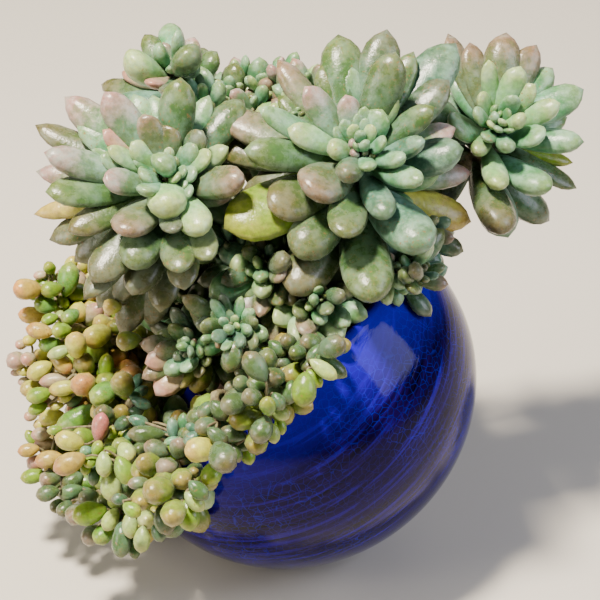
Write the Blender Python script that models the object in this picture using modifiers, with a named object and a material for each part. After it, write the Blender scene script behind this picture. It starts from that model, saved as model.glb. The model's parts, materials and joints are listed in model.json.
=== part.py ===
"""A potted sedum: a leaning glazed ball pot, its soil, and the leafy stems that spill out of it.

Each stem stands in its own hole in the soil, leaves through the mouth and ends in a rosette of plump
leaves. Leaves sit on their stem by the golden angle; those of the large rosettes that show in the
photograph are aimed at where their tips stand in it. A short relaxing step then pushes crowded leaves
apart, as they push each other on the plant.
"""

import math

import bmesh
import bpy
import numpy as np
from mathutils import Vector

MM = 0.001

# Pot: an oblate ball on its own axis, leaning to -X and a little to +Y, with a rolled lip.
POT_RADIUS = 82.3 * MM
POT_HALF_HEIGHT = 77.0 * MM
POT_WALL = 7.0 * MM
POT_LEAN = math.radians(40)
POT_TURN = math.radians(-20)
MOUTH_HEIGHT = 21.0 * MM  # along the axis, above the middle of the ball
LIP_RADIUS = 3.4 * MM
BASE_RADIUS = 22.0 * MM  # the ball's own small flat base, at the low end of its axis
FOOT_CUT = 4.2 * MM  # depth of the flat spot that the leaning pot rests on
POT_STEPS = 32  # the soil is turned in the same steps, so that their facets stay parallel
WALL_POINTS = 10
LIP_POINTS = 5

# Soil: fills the ball to a little above its middle.
SOIL_HEIGHT = 4.0 * MM
SEAT_GAP = 0.3 * MM
SOIL_POINTS = 6
HOLE_DEPTH = 12.0 * MM
HOLE_SIDES = 6
HOLE_SPACING = 10.0 * MM
HOLE_REACH = 62.0 * MM  # furthest hole from the axis

MERGE = 0.00002

STEM_POINTS = 4
STEM_SWELL = (1.5, 2.1, 1.3)  # thickness where the leaves start, at mid-head and at the tip
STEM_CLEAR = 3.0 * MM  # straight stretch of stem above its hole
STEM_RISE = 35.0 * MM  # how strongly a stem that crosses the rim starts upwards
MOUTH_RADIUS = 72.0 * MM  # where a stem crosses the rim
RIM_CLEARANCE = 14.0 * MM

# Leaves: where they stand and how they make room for each other.
GOLDEN_ANGLE = math.pi * (3 - math.sqrt(5))
SEED = 11
RELAX_ROUNDS = 60
PUSH_SHARE = 0.35  # how much of a clash one round turns a leaf by
MOST_TURN = 0.12  # radians, in one round
PULL_BACK = 0.02  # pull of a leaf to its first place, so that heads stay round
LEAF_PRESS = 0.92  # leaves of one head may press into each other to this share of their size
LEAF_MARGIN = 1.06  # corners of a faceted leaf stand out of its balls by less than this
NODE_GAP = 0.55 * MM  # clearance kept between leaves of different stems
TABLE_GAP = 1.5 * MM
SHRINK_STEP = 0.93
SMALLEST_SHRINK = 0.5  # a leaf that must be smaller than this is left out

# Leaf forms. width and thick are shares of the length, curl bends the tip to the head's axis,
# open is the angle to the axis of the youngest and the oldest leaf, young is the youngest leaf's
# length as a share of the longest, stem is the stem's radius, rings is how finely a leaf is cut.
LEAF_FORMS = {
    "broad": dict(width=0.50, thick=0.29, curl=0.10, open=(16, 112), young=0.30, stem=2.8, sides=6, rings=4),
    "middle": dict(width=0.50, thick=0.36, curl=0.06, open=(16, 108), young=0.40, stem=1.9, sides=6, rings=3),
    "bead": dict(width=0.62, thick=0.54, curl=0.03, open=(14, 118), young=0.55, stem=1.5, sides=4, rings=3),
}

# Heads, in millimetres: tip of the stem, way that it faces, leaf form, number of leaves, longest
# leaf, and length of stem that bears leaves. A broad head keeps only those of these leaves that point
# away from the camera, and has its others from the list AIMED.
HEADS = {
    "rosette_left": ((-47, -15, 195), (-0.12, -0.55, 0.83), "broad", 26, 41, 36),
    "rosette_middle": ((32, -14, 207), (0.05, -0.50, 0.86), "broad", 30, 44, 40),
    "rosette_right": ((92, 25, 196), (0.30, -0.45, 0.84), "broad", 23, 38, 34),
    "rosette_back": ((-47, 48, 210), (-0.15, -0.25, 0.95), "broad", 10, 25, 20),
    "crown_left": ((-24, 50, 194), (0.0, -0.30, 0.95), "middle", 8, 20, 15),
    "crown_middle": ((-9, 54, 197), (0.1, -0.20, 0.97), "middle", 8, 20, 15),
    "crown_right": ((13, 24, 212), (0.0, -0.35, 0.93), "middle", 8, 21, 15),
    "under_right": ((58, -30, 158), (0.45, -0.55, 0.70), "middle", 7, 19, 14),
    "middle_top": ((-7, -27, 160), (-0.15, -0.75, 0.65), "middle", 13, 22, 20),
    "middle_low": ((-21, -50, 142), (-0.20, -0.80, 0.55), "middle", 11, 19, 18),
    "middle_left": ((-39, -40, 125), (-0.45, -0.75, 0.45), "middle", 12, 21, 18),
    "middle_right": ((16, -42, 153), (0.15, -0.80, 0.55), "middle", 13, 22, 20),
    "rim_1": ((23, -67, 148), (0.15, -0.60, 0.80), "bead", 8, 15, 15),
    "rim_2": ((4, -58, 138), (-0.10, -0.50, 0.85), "bead", 8, 14, 15),
    "rim_3": ((-6, -83, 131), (-0.10, -0.60, 0.80), "bead", 8, 14, 15),
    "rim_4": ((-26, -81, 120), (-0.20, -0.60, 0.80), "bead", 8, 14, 15),
    "front_1": ((-73, -36, 81), (-0.25, -0.70, 0.65), "bead", 8, 14, 16),
    "front_2": ((-68, -60, 50), (-0.20, -0.85, 0.45), "bead", 8, 13, 16),
    "front_3": ((-43, -54, 90), (-0.10, -0.75, 0.65), "bead", 8, 14, 16),
    "front_4": ((-42, -92, 87), (-0.10, -0.70, 0.70), "bead", 8, 15, 16),
    "front_5": ((-104, -15, 45), (-0.60, -0.70, 0.40), "bead", 8, 13, 16),
    "front_6": ((-87, -35, 38), (-0.40, -0.80, 0.40), "bead", 8, 13, 16),
    "side_1": ((-99, 36, 96), (-0.70, -0.20, 0.70), "bead", 8, 14, 16),
    "side_2": ((-90, 60, 96), (-0.60, 0.10, 0.75), "bead", 8, 14, 16),
    "side_3": ((-104, 8, 78), (-0.75, -0.50, 0.40), "bead", 8, 14, 16),
    "side_4": ((-76, 12, 92), (-0.30, -0.60, 0.75), "bead", 8, 15, 16),
    "side_5": ((-74, -12, 82), (-0.20, -0.65, 0.70), "bead", 8, 15, 16),
    "side_6": ((-92, -5, 60), (-0.50, -0.70, 0.50), "bead", 8, 15, 16),
    "back_1": ((52, 62, 134), (0.50, 0.60, 0.60), "middle", 9, 20, 15),
    "back_3": ((8, 92, 100), (0.0, 0.70, 0.70), "bead", 8, 15, 15),
    "back_4": ((-35, 84, 72), (-0.40, 0.85, 0.35), "bead", 8, 15, 15),
    "inner_1": ((-2, 62, 150), (0.0, 0.65, 0.75), "middle", 10, 22, 17),
}

# Camera of the photograph, which only serves to aim the leaves below: it looks along +Y and down.
VIEW_ELEVATION = math.radians(36)
VIEW_DISTANCE = 1000.0 * MM
VIEW_HALF_ANGLE = math.radians(7.55)
VIEW_TARGET = np.array([7.65, 20.9, 106.5]) * MM  # what the middle of the picture shows
VIEW_RIGHT = np.array([1.0, 0.0, 0.0])
VIEW_UP = np.array([0.0, math.sin(VIEW_ELEVATION), math.cos(VIEW_ELEVATION)])
VIEW_TOWARD = np.array([0.0, -math.cos(VIEW_ELEVATION), math.sin(VIEW_ELEVATION)])
VIEW_EYE = VIEW_TARGET + VIEW_DISTANCE * VIEW_TOWARD
HALF_PICTURE = 300  # pixels

# Leaves of the large rosettes: pixel (x, y) of the tip in the photograph, then length and breadth in
# millimetres. A length below zero marks a leaf whose tip points away from the camera.
AIMED = {
    "rosette_left": (
        (177, 86, 34, 15), (111, 98, 36, 14), (71, 104, -42, 14), (43, 131, -46, 12),
        (53, 158, 44, 13), (54, 192, 46, 15), (74, 227, 42, 13), (123, 233, 36, 17),
        (127, 260, 42, 17), (182, 268, 44, 15), (98, 264, 44, 15), (134, 290, 46, 15),
        (156, 304, -48, 14), (129, 329, 52, 21), (239, 107, -40, 15), (161, 162, 15, 11),
        (167, 205, 24, 16), (238, 179, 38, 14), (250, 203, -40, 13), (222, 240, -44, 12),
    ),
    "rosette_middle": (
        (341, 41, -42, 19), (384, 38, -46, 17), (396, 62, 40, 16), (452, 51, -50, 20),
        (456, 150, 44, 16), (386, 213, 34, 12), (424, 243, 52, 20), (462, 219, -50, 16),
        (344, 231, 42, 16), (372, 294, 60, 21), (298, 247, 46, 20), (296, 288, 56, 21),
        (310, 190, 32, 20), (270, 207, 44, 20), (238, 226, 52, 20), (252, 150, 38, 14),
        (228, 122, -46, 17), (279, 71, -40, 12), (334, 146, 16, 9),
    ),
    "rosette_right": (
        (508, 41, -36, 16), (547, 72, -38, 13), (575, 91, -38, 14), (577, 141, 38, 11),
        (570, 185, -40, 10), (545, 186, 40, 14), (543, 215, -44, 15), (503, 226, 48, 17),
        (455, 124, 26, 14), (450, 41, -42, 11), (472, 50, -36, 12), (452, 180, -42, 14),
        (442, 206, -48, 15), (484, 110, 16, 9),
    ),
    "rosette_back": (
        (133, 58, 30, 15), (187, 52, 26, 14), (168, 28, -32, 12), (107, 86, -38, 12),
        (210, 76, -30, 12), (200, 95, -32, 10), (172, 62, 14, 8),
    ),
}
AIMED_WIDTH = 1.0
AIMED_THICK = 0.70  # of the breadth


def unit(v):
    """The vector or rows of vectors v, each scaled to length one."""
    v = np.asarray(v, float)
    return v / np.maximum(np.linalg.norm(v, axis=-1, keepdims=True), 1e-12)


def pot_frame():
    """The pot's centre, its axis and two directions across it, with its flat spot on the origin.

    The lowest point of an oblate ball lies to one side of its centre; the pot is placed so that
    the flat cut there has its middle on the origin and lies in the plane z = 0.
    """
    flat = -math.sin(POT_LEAN)
    axis = np.array([flat * math.cos(POT_TURN), flat * math.sin(POT_TURN), math.cos(POT_LEAN)])
    reach = math.sqrt(POT_RADIUS**2 * (1 - axis[2] ** 2) + (POT_HALF_HEIGHT * axis[2]) ** 2)
    shift = (POT_RADIUS**2 - POT_HALF_HEIGHT**2) * axis[2] / reach
    centre = np.array([-shift * axis[0], -shift * axis[1], reach - FOOT_CUT])
    across = unit(np.cross([0, 1, 0], axis))
    return centre, axis, across, np.cross(axis, across)


CENTRE, AXIS, ACROSS, ALONG = pot_frame()


def ball_radius(height, inset=0.0):
    """Radius of the ball's wall at a height on its axis, with the wall moved in by inset."""
    share = np.clip(height / (POT_HALF_HEIGHT - inset), -1, 1)
    return (POT_RADIUS - inset) * np.sqrt(1 - share**2)


def wall_profile(inset, top, base_radius, count):
    """Points (radius, height) up the ball's wall from its flat base to the height top."""
    half = POT_HALF_HEIGHT - inset
    low = -half * math.sqrt(1 - (base_radius / (POT_RADIUS - inset)) ** 2)
    turn = np.linspace(math.asin(low / half), math.asin(top / half), count)
    return [(float(ball_radius(half * math.sin(a), inset)), half * math.sin(a)) for a in turn]


def pot_profile():
    """Closed outline of the pot's wall: axis, outside wall, rolled lip, inside wall, axis."""
    outer = wall_profile(0.0, MOUTH_HEIGHT, BASE_RADIUS, WALL_POINTS)
    inner = wall_profile(POT_WALL, SOIL_HEIGHT, BASE_RADIUS - POT_WALL, SOIL_POINTS)
    inner.append((float(ball_radius(MOUTH_HEIGHT, POT_WALL)), MOUTH_HEIGHT))
    lip_centre = (outer[-1][0] + inner[-1][0]) / 2
    roll = [
        (lip_centre + LIP_RADIUS * math.cos(a), MOUTH_HEIGHT + LIP_RADIUS * (0.3 + math.sin(a)))
        for a in np.linspace(0, math.pi, LIP_POINTS)
    ]
    return [(0.0, outer[0][1])] + outer + roll + inner[::-1] + [(0.0, inner[0][1])]


def soil_profile():
    """Closed outline of the soil: its level top from the axis outwards, then down the wall."""
    wall = wall_profile(POT_WALL + SEAT_GAP, SOIL_HEIGHT, BASE_RADIUS - POT_WALL - SEAT_GAP, SOIL_POINTS)
    return [(0.0, SOIL_HEIGHT)] + wall[::-1] + [(0.0, wall[0][1])]


def filled_outline():
    """Closed outline (radius, height) of the pot with its soil, which leaves keep clear of."""
    pot = pot_profile()
    split = 1 + WALL_POINTS + LIP_POINTS
    inside = [p for p in pot[split:] if p[1] >= SOIL_HEIGHT]
    return np.array(pot[:split] + inside + [(0.0, SOIL_HEIGHT)])


def to_pot(points):
    """Radius and height of points in the pot's frame, with the outward unit vector of each."""
    rel = points - CENTRE
    height = rel @ AXIS
    flat = rel - height[..., None] * AXIS
    radius = np.linalg.norm(flat, axis=-1)
    return radius, height, flat / np.maximum(radius, 1e-9)[..., None]


def pot_place(turn, radius, height):
    """A point given by its angle round the pot's axis, its radius and its height on the axis."""
    return CENTRE + height * AXIS + radius * (math.cos(turn) * ACROSS + math.sin(turn) * ALONG)


def pot_depth(points, outline):
    """Distance of each point outside the filled pot, less than zero inside it, and the way out."""
    radius, height, out = to_pot(points)
    q = np.stack([radius, height], -1)
    a = outline
    b = np.roll(outline, -1, axis=0)
    edge = b - a
    t = np.clip(((q[:, None] - a) * edge).sum(-1) / np.maximum((edge**2).sum(-1), 1e-15), 0, 1)
    near = a + t[..., None] * edge
    away = q[:, None] - near
    dist = np.linalg.norm(away, axis=-1)
    pick = dist.argmin(1)
    rows = np.arange(len(q))
    crosses = (a[:, 1] > q[:, 1, None]) != (b[:, 1] > q[:, 1, None])
    rise = np.where(np.abs(edge[:, 1]) < 1e-12, 1e-12, edge[:, 1])
    at = a[:, 0] + (q[:, 1, None] - a[:, 1]) / rise * edge[:, 0]
    inside = (crosses & (q[:, 0, None] < at)).sum(1) % 2 == 1
    sign = np.where(inside, -1.0, 1.0)
    way = away[rows, pick] / np.maximum(dist[rows, pick], 1e-9)[:, None] * sign[:, None]
    push = way[:, :1] * out + way[:, 1:] * AXIS
    return dist[rows, pick] * sign, push


def hole_places():
    """Where each stem stands in the soil, as (x, y) across the pot's axis, spread apart.

    A hole starts under its head, drawn in to 0.6 of the head's distance from the axis, and holes
    then push each other apart until they are HOLE_SPACING from one another.
    """
    tips = np.array([h[0] for h in HEADS.values()]) * MM
    rel = tips - CENTRE
    flat = np.stack([rel @ ACROSS, rel @ ALONG], -1)
    reach = np.linalg.norm(flat, axis=1, keepdims=True)
    places = flat / reach * np.minimum(0.6 * reach, HOLE_REACH)
    for _ in range(400):
        gap = places[:, None] - places
        dist = np.linalg.norm(gap, axis=-1) + np.eye(len(places))
        short = np.clip(HOLE_SPACING - dist, 0, None) * (1 - np.eye(len(places)))
        places = places + 0.3 * (gap / dist[..., None] * short[..., None]).sum(1)
        size = np.linalg.norm(places, axis=1, keepdims=True)
        places = places * np.minimum(1, HOLE_REACH / size)
    return places


def hermite(start, start_way, end, end_way, count):
    """Points on the cubic from start to end that leaves and arrives along the given vectors."""
    t = np.linspace(0, 1, count)[:, None]
    return (
        (2 * t**3 - 3 * t**2 + 1) * start
        + (t**3 - 2 * t**2 + t) * start_way
        + (3 * t**2 - 2 * t**3) * end
        + (t**3 - t**2) * end_way
    )


def stem_path(tip, facing, hole, leafy):
    """The stem's centre line: straight up out of its hole, then over the rim or direct to the tip."""
    soil = CENTRE + hole[0] * ACROSS + hole[1] * ALONG + SOIL_HEIGHT * AXIS
    buried = soil - HOLE_DEPTH * AXIS
    clear = soil + STEM_CLEAR * AXIS
    radius, height, out = to_pot(tip[None])
    neck = tip - facing * leafy
    middle = tip - facing * leafy / 2
    start = math.hypot(*hole)
    share = (MOUTH_RADIUS - start) / max(radius[0] - start, 1e-9)
    at_rim = SOIL_HEIGHT + share * (height[0] - SOIL_HEIGHT)
    if radius[0] > MOUTH_RADIUS and at_rim < MOUTH_HEIGHT + RIM_CLEARANCE:
        rel = tip - CENTRE
        turn = math.atan2(rel @ ALONG, rel @ ACROSS)
        lift = RIM_CLEARANCE + 0.35 * max(height[0] - MOUTH_HEIGHT, 0.0)
        over = pot_place(turn, MOUTH_RADIUS, MOUTH_HEIGHT + lift)
        way = unit(unit(neck - clear) + out[0])
        rise = hermite(clear, AXIS * STEM_RISE, over, way * 35 * MM, 3)
        span = np.linalg.norm(neck - over)
        fall = hermite(over, way * span, neck, facing * span, 3)
        return np.vstack([buried[None], rise, fall[1:], middle[None], tip[None]])
    span = np.linalg.norm(neck - clear)
    rise = hermite(clear, AXIS * span * 0.8, neck, facing * span * 0.8, STEM_POINTS)
    return np.vstack([buried[None], rise, middle[None], tip[None]])


def along_path(path, back):
    """The point and direction on a path at the distance back from its last point."""
    step = np.linalg.norm(np.diff(path, axis=0), axis=1)
    at = np.concatenate([[0], np.cumsum(step)])
    goal = max(at[-1] - back, 0.0)
    k = min(int(np.searchsorted(at, goal, side="right")) - 1, len(step) - 1)
    share = (goal - at[k]) / step[k]
    return path[k] + share * (path[k + 1] - path[k]), unit(path[k + 1] - path[k])


def leaf_swell(t):
    """Half-breadth of a leaf along its length, as a share of the widest: narrow foot, full end."""
    foot, end = 1.0, 0.52
    widest = foot / (foot + end)
    return (t / widest) ** foot * ((1 - t) / (1 - widest)) ** end


def grow_head(rng, path, facing, form, count, longest, leafy):
    """The leaves of one head: roots, directions, head axes and lengths, from tip to oldest leaf."""
    side = unit(np.cross(facing, [0.3, 0.2, 1.0]))
    roots, ways, axes, sizes = [], [], [], []
    for i in range(count):
        age = (i + 0.5) / count
        root, line = along_path(path, leafy * age**1.15)
        axis = unit(line + 0.6 * facing)
        u = unit(side - (side @ axis) * axis)
        v = np.cross(axis, u)
        turn = i * GOLDEN_ANGLE + rng.uniform(-0.15, 0.15)
        low, high = form["open"]
        opening = math.radians(low + (high - low) * age**0.62 + rng.uniform(-5, 5))
        around = math.cos(turn) * u + math.sin(turn) * v
        roots.append(root + 0.7 * form["stem"] * MM * math.sin(opening) * around)
        ways.append(math.cos(opening) * axis + math.sin(opening) * around)
        axes.append(axis)
        grown = form["young"] + (1 - form["young"]) * min(1.0, 1.25 * age) ** 0.8
        sizes.append(longest * grown * (1 - 0.12 * age**4) * rng.uniform(0.9, 1.06))
    return np.array(roots), unit(np.array(ways)), np.array(axes), np.array(sizes)


def aim_leaves(path, tip, facing, form, leafy, rows):
    """The leaves of one head that are aimed at their pixels: roots, directions, axes, lengths, shapes.

    The root steps back along the stem with the leaf's reach. The tip is where the line of sight of
    its pixel meets the ball of the leaf's length round its root, on the near or on the far side. A
    line of sight that misses the ball makes the leaf long enough to reach it.
    """
    x, y, length, breadth = np.array(rows, float).T
    length, breadth = length * MM, breadth * MM
    share = math.tan(VIEW_HALF_ANGLE) / HALF_PICTURE
    across = (x - HALF_PICTURE)[:, None] * share
    up = (HALF_PICTURE - y)[:, None] * share
    sight = unit(across * VIEW_RIGHT + up * VIEW_UP - VIEW_TOWARD)
    far = (tip - VIEW_EYE) @ VIEW_TOWARD / (sight @ VIEW_TOWARD)
    reach = np.linalg.norm(VIEW_EYE + far[:, None] * sight - tip, axis=1)
    back = 0.9 * leafy * (reach / reach.max()) ** 1.3
    back = np.where(length < 0, np.maximum(back, 0.5 * leafy), back)
    spots = [along_path(path, b) for b in back]
    root = np.array([spot for spot, _ in spots])
    axes = unit(np.array([line for _, line in spots]) + 0.6 * facing)
    near = ((root - VIEW_EYE) * sight).sum(1)
    miss = np.linalg.norm(root - VIEW_EYE - near[:, None] * sight, axis=1)
    size = np.maximum(np.abs(length), miss * 1.03)
    shift = np.sqrt(size**2 - miss**2) * -np.sign(length)
    way = unit(VIEW_EYE + (near + shift)[:, None] * sight - root)
    shape = np.stack([AIMED_WIDTH * breadth / size, AIMED_THICK * breadth / size, np.full(len(x), form["curl"])], -1)
    return root + 0.5 * form["stem"] * MM * way, way, axes, size, shape


SPINE_SHARES = np.array([0.15, 0.32, 0.50, 0.70, 0.88])


def leaf_line(roots, ways, axes, sizes, curl, shares):
    """Points on the middle line of each leaf: straight along its way, bent to its head's axis."""
    lean = unit(axes - (axes * ways).sum(1, keepdims=True) * ways)
    along = ways[:, None] * shares[:, None] + lean[:, None] * (curl[:, None] * shares**2)[..., None]
    return roots[:, None] + along * sizes[:, None, None]


def leaf_balls(roots, ways, axes, sizes, width, thick, curl):
    """Balls that fill each leaf: three across at each place along it, with their radii."""
    line = leaf_line(roots, ways, axes, sizes, curl, SPINE_SHARES)
    lean = unit(axes - (axes * ways).sum(1, keepdims=True) * ways)
    broad = np.cross(ways, lean)
    swell = leaf_swell(SPINE_SHARES)
    radius = sizes[:, None] * thick[:, None] / 2 * swell
    spread = sizes[:, None] * (width - thick)[:, None] / 2 * swell
    offset = np.array([-1.0, 0.0, 1.0])
    balls = line[:, :, None] + broad[:, None, None] * (spread[:, :, None] * offset)[..., None]
    return balls.reshape(len(roots), 3 * len(SPINE_SHARES), 3), np.repeat(radius, 3, axis=1)


def grow_plant():
    """All heads with their stems, leaves pushed apart, and leaves that still clash made smaller."""
    rng = np.random.default_rng(SEED)
    holes = hole_places()
    stems, parts = {}, []
    for k, (name, (tip, facing, form, count, longest, leafy)) in enumerate(HEADS.items()):
        shape = LEAF_FORMS[form]
        way = unit(facing)
        path = stem_path(np.array(tip) * MM, way, holes[k], leafy * MM)
        stems[name] = (path, shape["stem"] * MM, holes[k])
        head = grow_head(rng, path, way, shape, count, longest * MM, leafy * MM)
        row = np.array([[shape["width"], shape["thick"], shape["curl"]]])
        keep = np.ones(count, bool)
        if name in AIMED:
            aimed = aim_leaves(path, np.array(tip) * MM, way, shape, leafy * MM, AIMED[name])
            parts.append((np.full(len(AIMED[name]), k), *aimed))
            keep = (head[1] @ VIEW_TOWARD < -0.15) & (np.arange(count) > 0.4 * count)
        parts.append((np.full(keep.sum(), k), *(c[keep] for c in head), np.repeat(row, keep.sum(), axis=0)))
    owner, roots, ways, axes, sizes, shape = (np.concatenate(c) for c in zip(*parts))
    ways, sizes = relax(owner, roots, ways, axes, sizes, shape, stems)
    keep = sizes > 0
    return stems, owner[keep], roots[keep], ways[keep], axes[keep], sizes[keep], shape[keep]


def stem_swell(count):
    """How thick a stem is at each of its points, as a share of its radius."""
    return [1.0] * (count - len(STEM_SWELL)) + list(STEM_SWELL)


def stem_balls(stems):
    """Balls along every stem above the soil, with their radii and the number of their stem."""
    spots, radii, owner = [], [], []
    for k, (path, radius, _) in enumerate(stems.values()):
        swell = stem_swell(len(path))
        for a, b, wide_a, wide_b in zip(path[1:-1], path[2:], swell[1:-1], swell[2:]):
            count = max(2, int(np.linalg.norm(b - a) / (3 * MM)))
            for s in np.linspace(0, 1, count, endpoint=False):
                spots.append(a + s * (b - a))
                radii.append(radius * (wide_a + s * (wide_b - wide_a)))
                owner.append(k)
    return np.array(spots), np.array(radii), np.array(owner)


def relax(owner, roots, ways, axes, sizes, shape, stems):
    """Turn crowded leaves away from each other, then shrink those that still touch another stem."""
    width, thick, curl = shape.T
    first = ways.copy()
    outline = filled_outline()
    spots, thick_stem, spot_owner = stem_balls(stems)
    middle = roots + 0.55 * sizes[:, None] * ways
    reach = np.linalg.norm(middle[:, None] - middle, axis=-1) < 0.6 * (sizes[:, None] + sizes) + 4 * MM
    one, two = np.nonzero(np.triu(reach, 1))
    same = owner[one] == owner[two]
    near_stem = np.linalg.norm(middle[:, None] - spots, axis=-1) < sizes[:, None] * 0.8 + 6 * MM
    near_stem &= owner[:, None] != spot_owner
    leaf, spot = np.nonzero(near_stem)
    lever = np.repeat(SPINE_SHARES, 3)

    for _ in range(RELAX_ROUNDS):
        balls, radius = leaf_balls(roots, ways, axes, sizes, width, thick, curl)
        force = np.zeros_like(ways)
        gap = balls[one][:, :, None] - balls[two][:, None]
        dist = np.linalg.norm(gap, axis=-1)
        want = radius[one][:, :, None] + radius[two][:, None]
        want = np.where(same[:, None, None], LEAF_PRESS * want, want + NODE_GAP)
        short = np.clip(want - dist, 0, None)
        push = gap / np.maximum(dist, 1e-9)[..., None] * short[..., None]
        np.add.at(force, one, (push.sum(2) * lever[:, None]).sum(1))
        np.add.at(force, two, -(push.sum(1) * lever[:, None]).sum(1))
        gap = balls[leaf] - spots[spot][:, None]
        dist = np.linalg.norm(gap, axis=-1)
        short = np.clip(radius[leaf] + thick_stem[spot][:, None] + NODE_GAP - dist, 0, None)
        push = gap / np.maximum(dist, 1e-9)[..., None] * short[..., None]
        np.add.at(force, leaf, 2 * (push * lever[:, None]).sum(1))
        depth, out = pot_depth(balls.reshape(-1, 3), outline)
        short = np.clip(radius.ravel() + NODE_GAP - depth, 0, None)
        push = (out * short[:, None]).reshape(balls.shape)
        under = np.clip(radius + TABLE_GAP - balls[..., 2], 0, None)
        push[..., 2] += under
        force += 2 * (push * lever[:, None]).sum(1)
        turn = np.clip(PUSH_SHARE * force / sizes[:, None], -MOST_TURN, MOST_TURN)
        turn -= (turn * ways).sum(1, keepdims=True) * ways
        ways = unit(ways + turn + PULL_BACK * (first - ways))

    sizes = sizes.copy()
    smallest = sizes * SMALLEST_SHRINK
    for i in np.argsort(-sizes):
        others = (owner != owner[i]) & (sizes > 0)
        close = others & (np.linalg.norm(middle - middle[i], axis=1) < 0.7 * (sizes + sizes[i]) + 6 * MM)
        balls, radius = leaf_balls(
            roots[close], ways[close], axes[close], sizes[close], width[close], thick[close], curl[close]
        )
        walls = np.vstack([balls.reshape(-1, 3), spots[spot_owner != owner[i]]])
        wide = np.concatenate([radius.ravel() * LEAF_MARGIN, thick_stem[spot_owner != owner[i]]])
        while sizes[i] > 0:
            row = slice(i, i + 1)
            mine, mine_radius = leaf_balls(
                roots[row], ways[row], axes[row], sizes[row], width[row], thick[row], curl[row]
            )
            mine, mine_radius = mine[0], mine_radius[0] * LEAF_MARGIN
            dist = np.linalg.norm(mine[:, None] - walls, axis=-1)
            room = (dist - mine_radius[:, None] - wide).min() if len(walls) else 1.0
            depth, _ = pot_depth(mine, outline)
            room = min(room, (depth - mine_radius).min(), (mine[:, 2] - mine_radius).min())
            if room > NODE_GAP * 0.6:
                break
            sizes[i] *= SHRINK_STEP
            if sizes[i] < smallest[i]:
                sizes[i] = 0.0
    return ways, sizes


def material(name, colour, roughness):
    """A Principled material of one colour and roughness."""
    made = bpy.data.materials.new(name)
    made.use_nodes = True
    shader = made.node_tree.nodes["Principled BSDF"]
    shader.inputs["Base Color"].default_value = (*colour, 1.0)
    shader.inputs["Roughness"].default_value = roughness
    return made


def collection(name):
    """A new collection in the scene."""
    made = bpy.data.collections.new(name)
    bpy.context.scene.collection.children.link(made)
    return made


def add_object(name, mesh, target):
    """An object of the mesh, in the target collection."""
    made = bpy.data.objects.new(name, mesh)
    target.objects.link(made)
    return made


def apply_modifiers(piece):
    """Put the evaluated mesh in place of the object's own and drop its modifiers."""
    bpy.context.view_layer.update()
    graph = bpy.context.evaluated_depsgraph_get()
    mesh = bpy.data.meshes.new_from_object(piece.evaluated_get(graph))
    piece.modifiers.clear()
    piece.data = mesh
    return piece


def turned(name, profile, steps, target):
    """A closed turned solid from a profile of (radius, height), set on the pot's axis."""
    mesh = bpy.data.meshes.new(name)
    edges = [(i, i + 1) for i in range(len(profile) - 1)]
    mesh.from_pydata([(r, 0.0, h) for r, h in profile], edges, [])
    piece = add_object(name, mesh, target)
    screw = piece.modifiers.new("Turn", "SCREW")
    screw.steps = steps
    screw.render_steps = steps
    screw.use_merge_vertices = True
    screw.merge_threshold = 0.00001
    screw.use_normal_calculate = True
    piece.rotation_mode = "QUATERNION"
    piece.rotation_quaternion = Vector(AXIS).to_track_quat("Z", "Y")
    piece.location = Vector(CENTRE)
    return piece


def face_out(shape):
    """Turn a closed mesh's faces outwards, if its volume says that they point in."""
    if shape.calc_volume(signed=True) < 0:
        bmesh.ops.reverse_faces(shape, faces=shape.faces)


def bake_place(piece):
    """Apply the object's modifiers and move its place into its mesh, with normals facing out."""
    apply_modifiers(piece)
    piece.data.transform(piece.matrix_world)
    piece.matrix_world.identity()
    shape = bmesh.new()
    shape.from_mesh(piece.data)
    bmesh.ops.remove_doubles(shape, verts=shape.verts, dist=0.00001)
    face_out(shape)
    shape.to_mesh(piece.data)
    shape.free()
    return piece


def cut(piece, cutters, cutter_group):
    """Take the cutters away from the piece."""
    for cutter in cutters:
        cutter.hide_render = True
        cutter.display_type = "WIRE"
    away = piece.modifiers.new("Cut", "BOOLEAN")
    away.operation = "DIFFERENCE"
    away.operand_type = "COLLECTION"
    away.collection = cutter_group
    away.solver = "EXACT"
    return apply_modifiers(piece)


def make_pot(target, cutter_group, finish):
    """The glazed pot: a turned wall with a rolled lip, cut flat where the leaning ball rests."""
    pot = bake_place(turned("pot", pot_profile(), POT_STEPS, target))
    mesh = bpy.data.meshes.new("foot_cutter")
    shape = bmesh.new()
    bmesh.ops.create_cube(shape, size=4 * POT_RADIUS)
    bmesh.ops.translate(shape, verts=shape.verts, vec=(0, 0, -2 * POT_RADIUS))
    shape.to_mesh(mesh)
    shape.free()
    cutter = add_object("foot_cutter", mesh, cutter_group)
    cut(pot, [cutter], cutter_group)
    pot.data.materials.clear()
    pot.data.materials.append(finish)
    pot.data.shade_smooth()
    pot.data.set_sharp_from_angle(angle=math.radians(35))
    return pot


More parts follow.
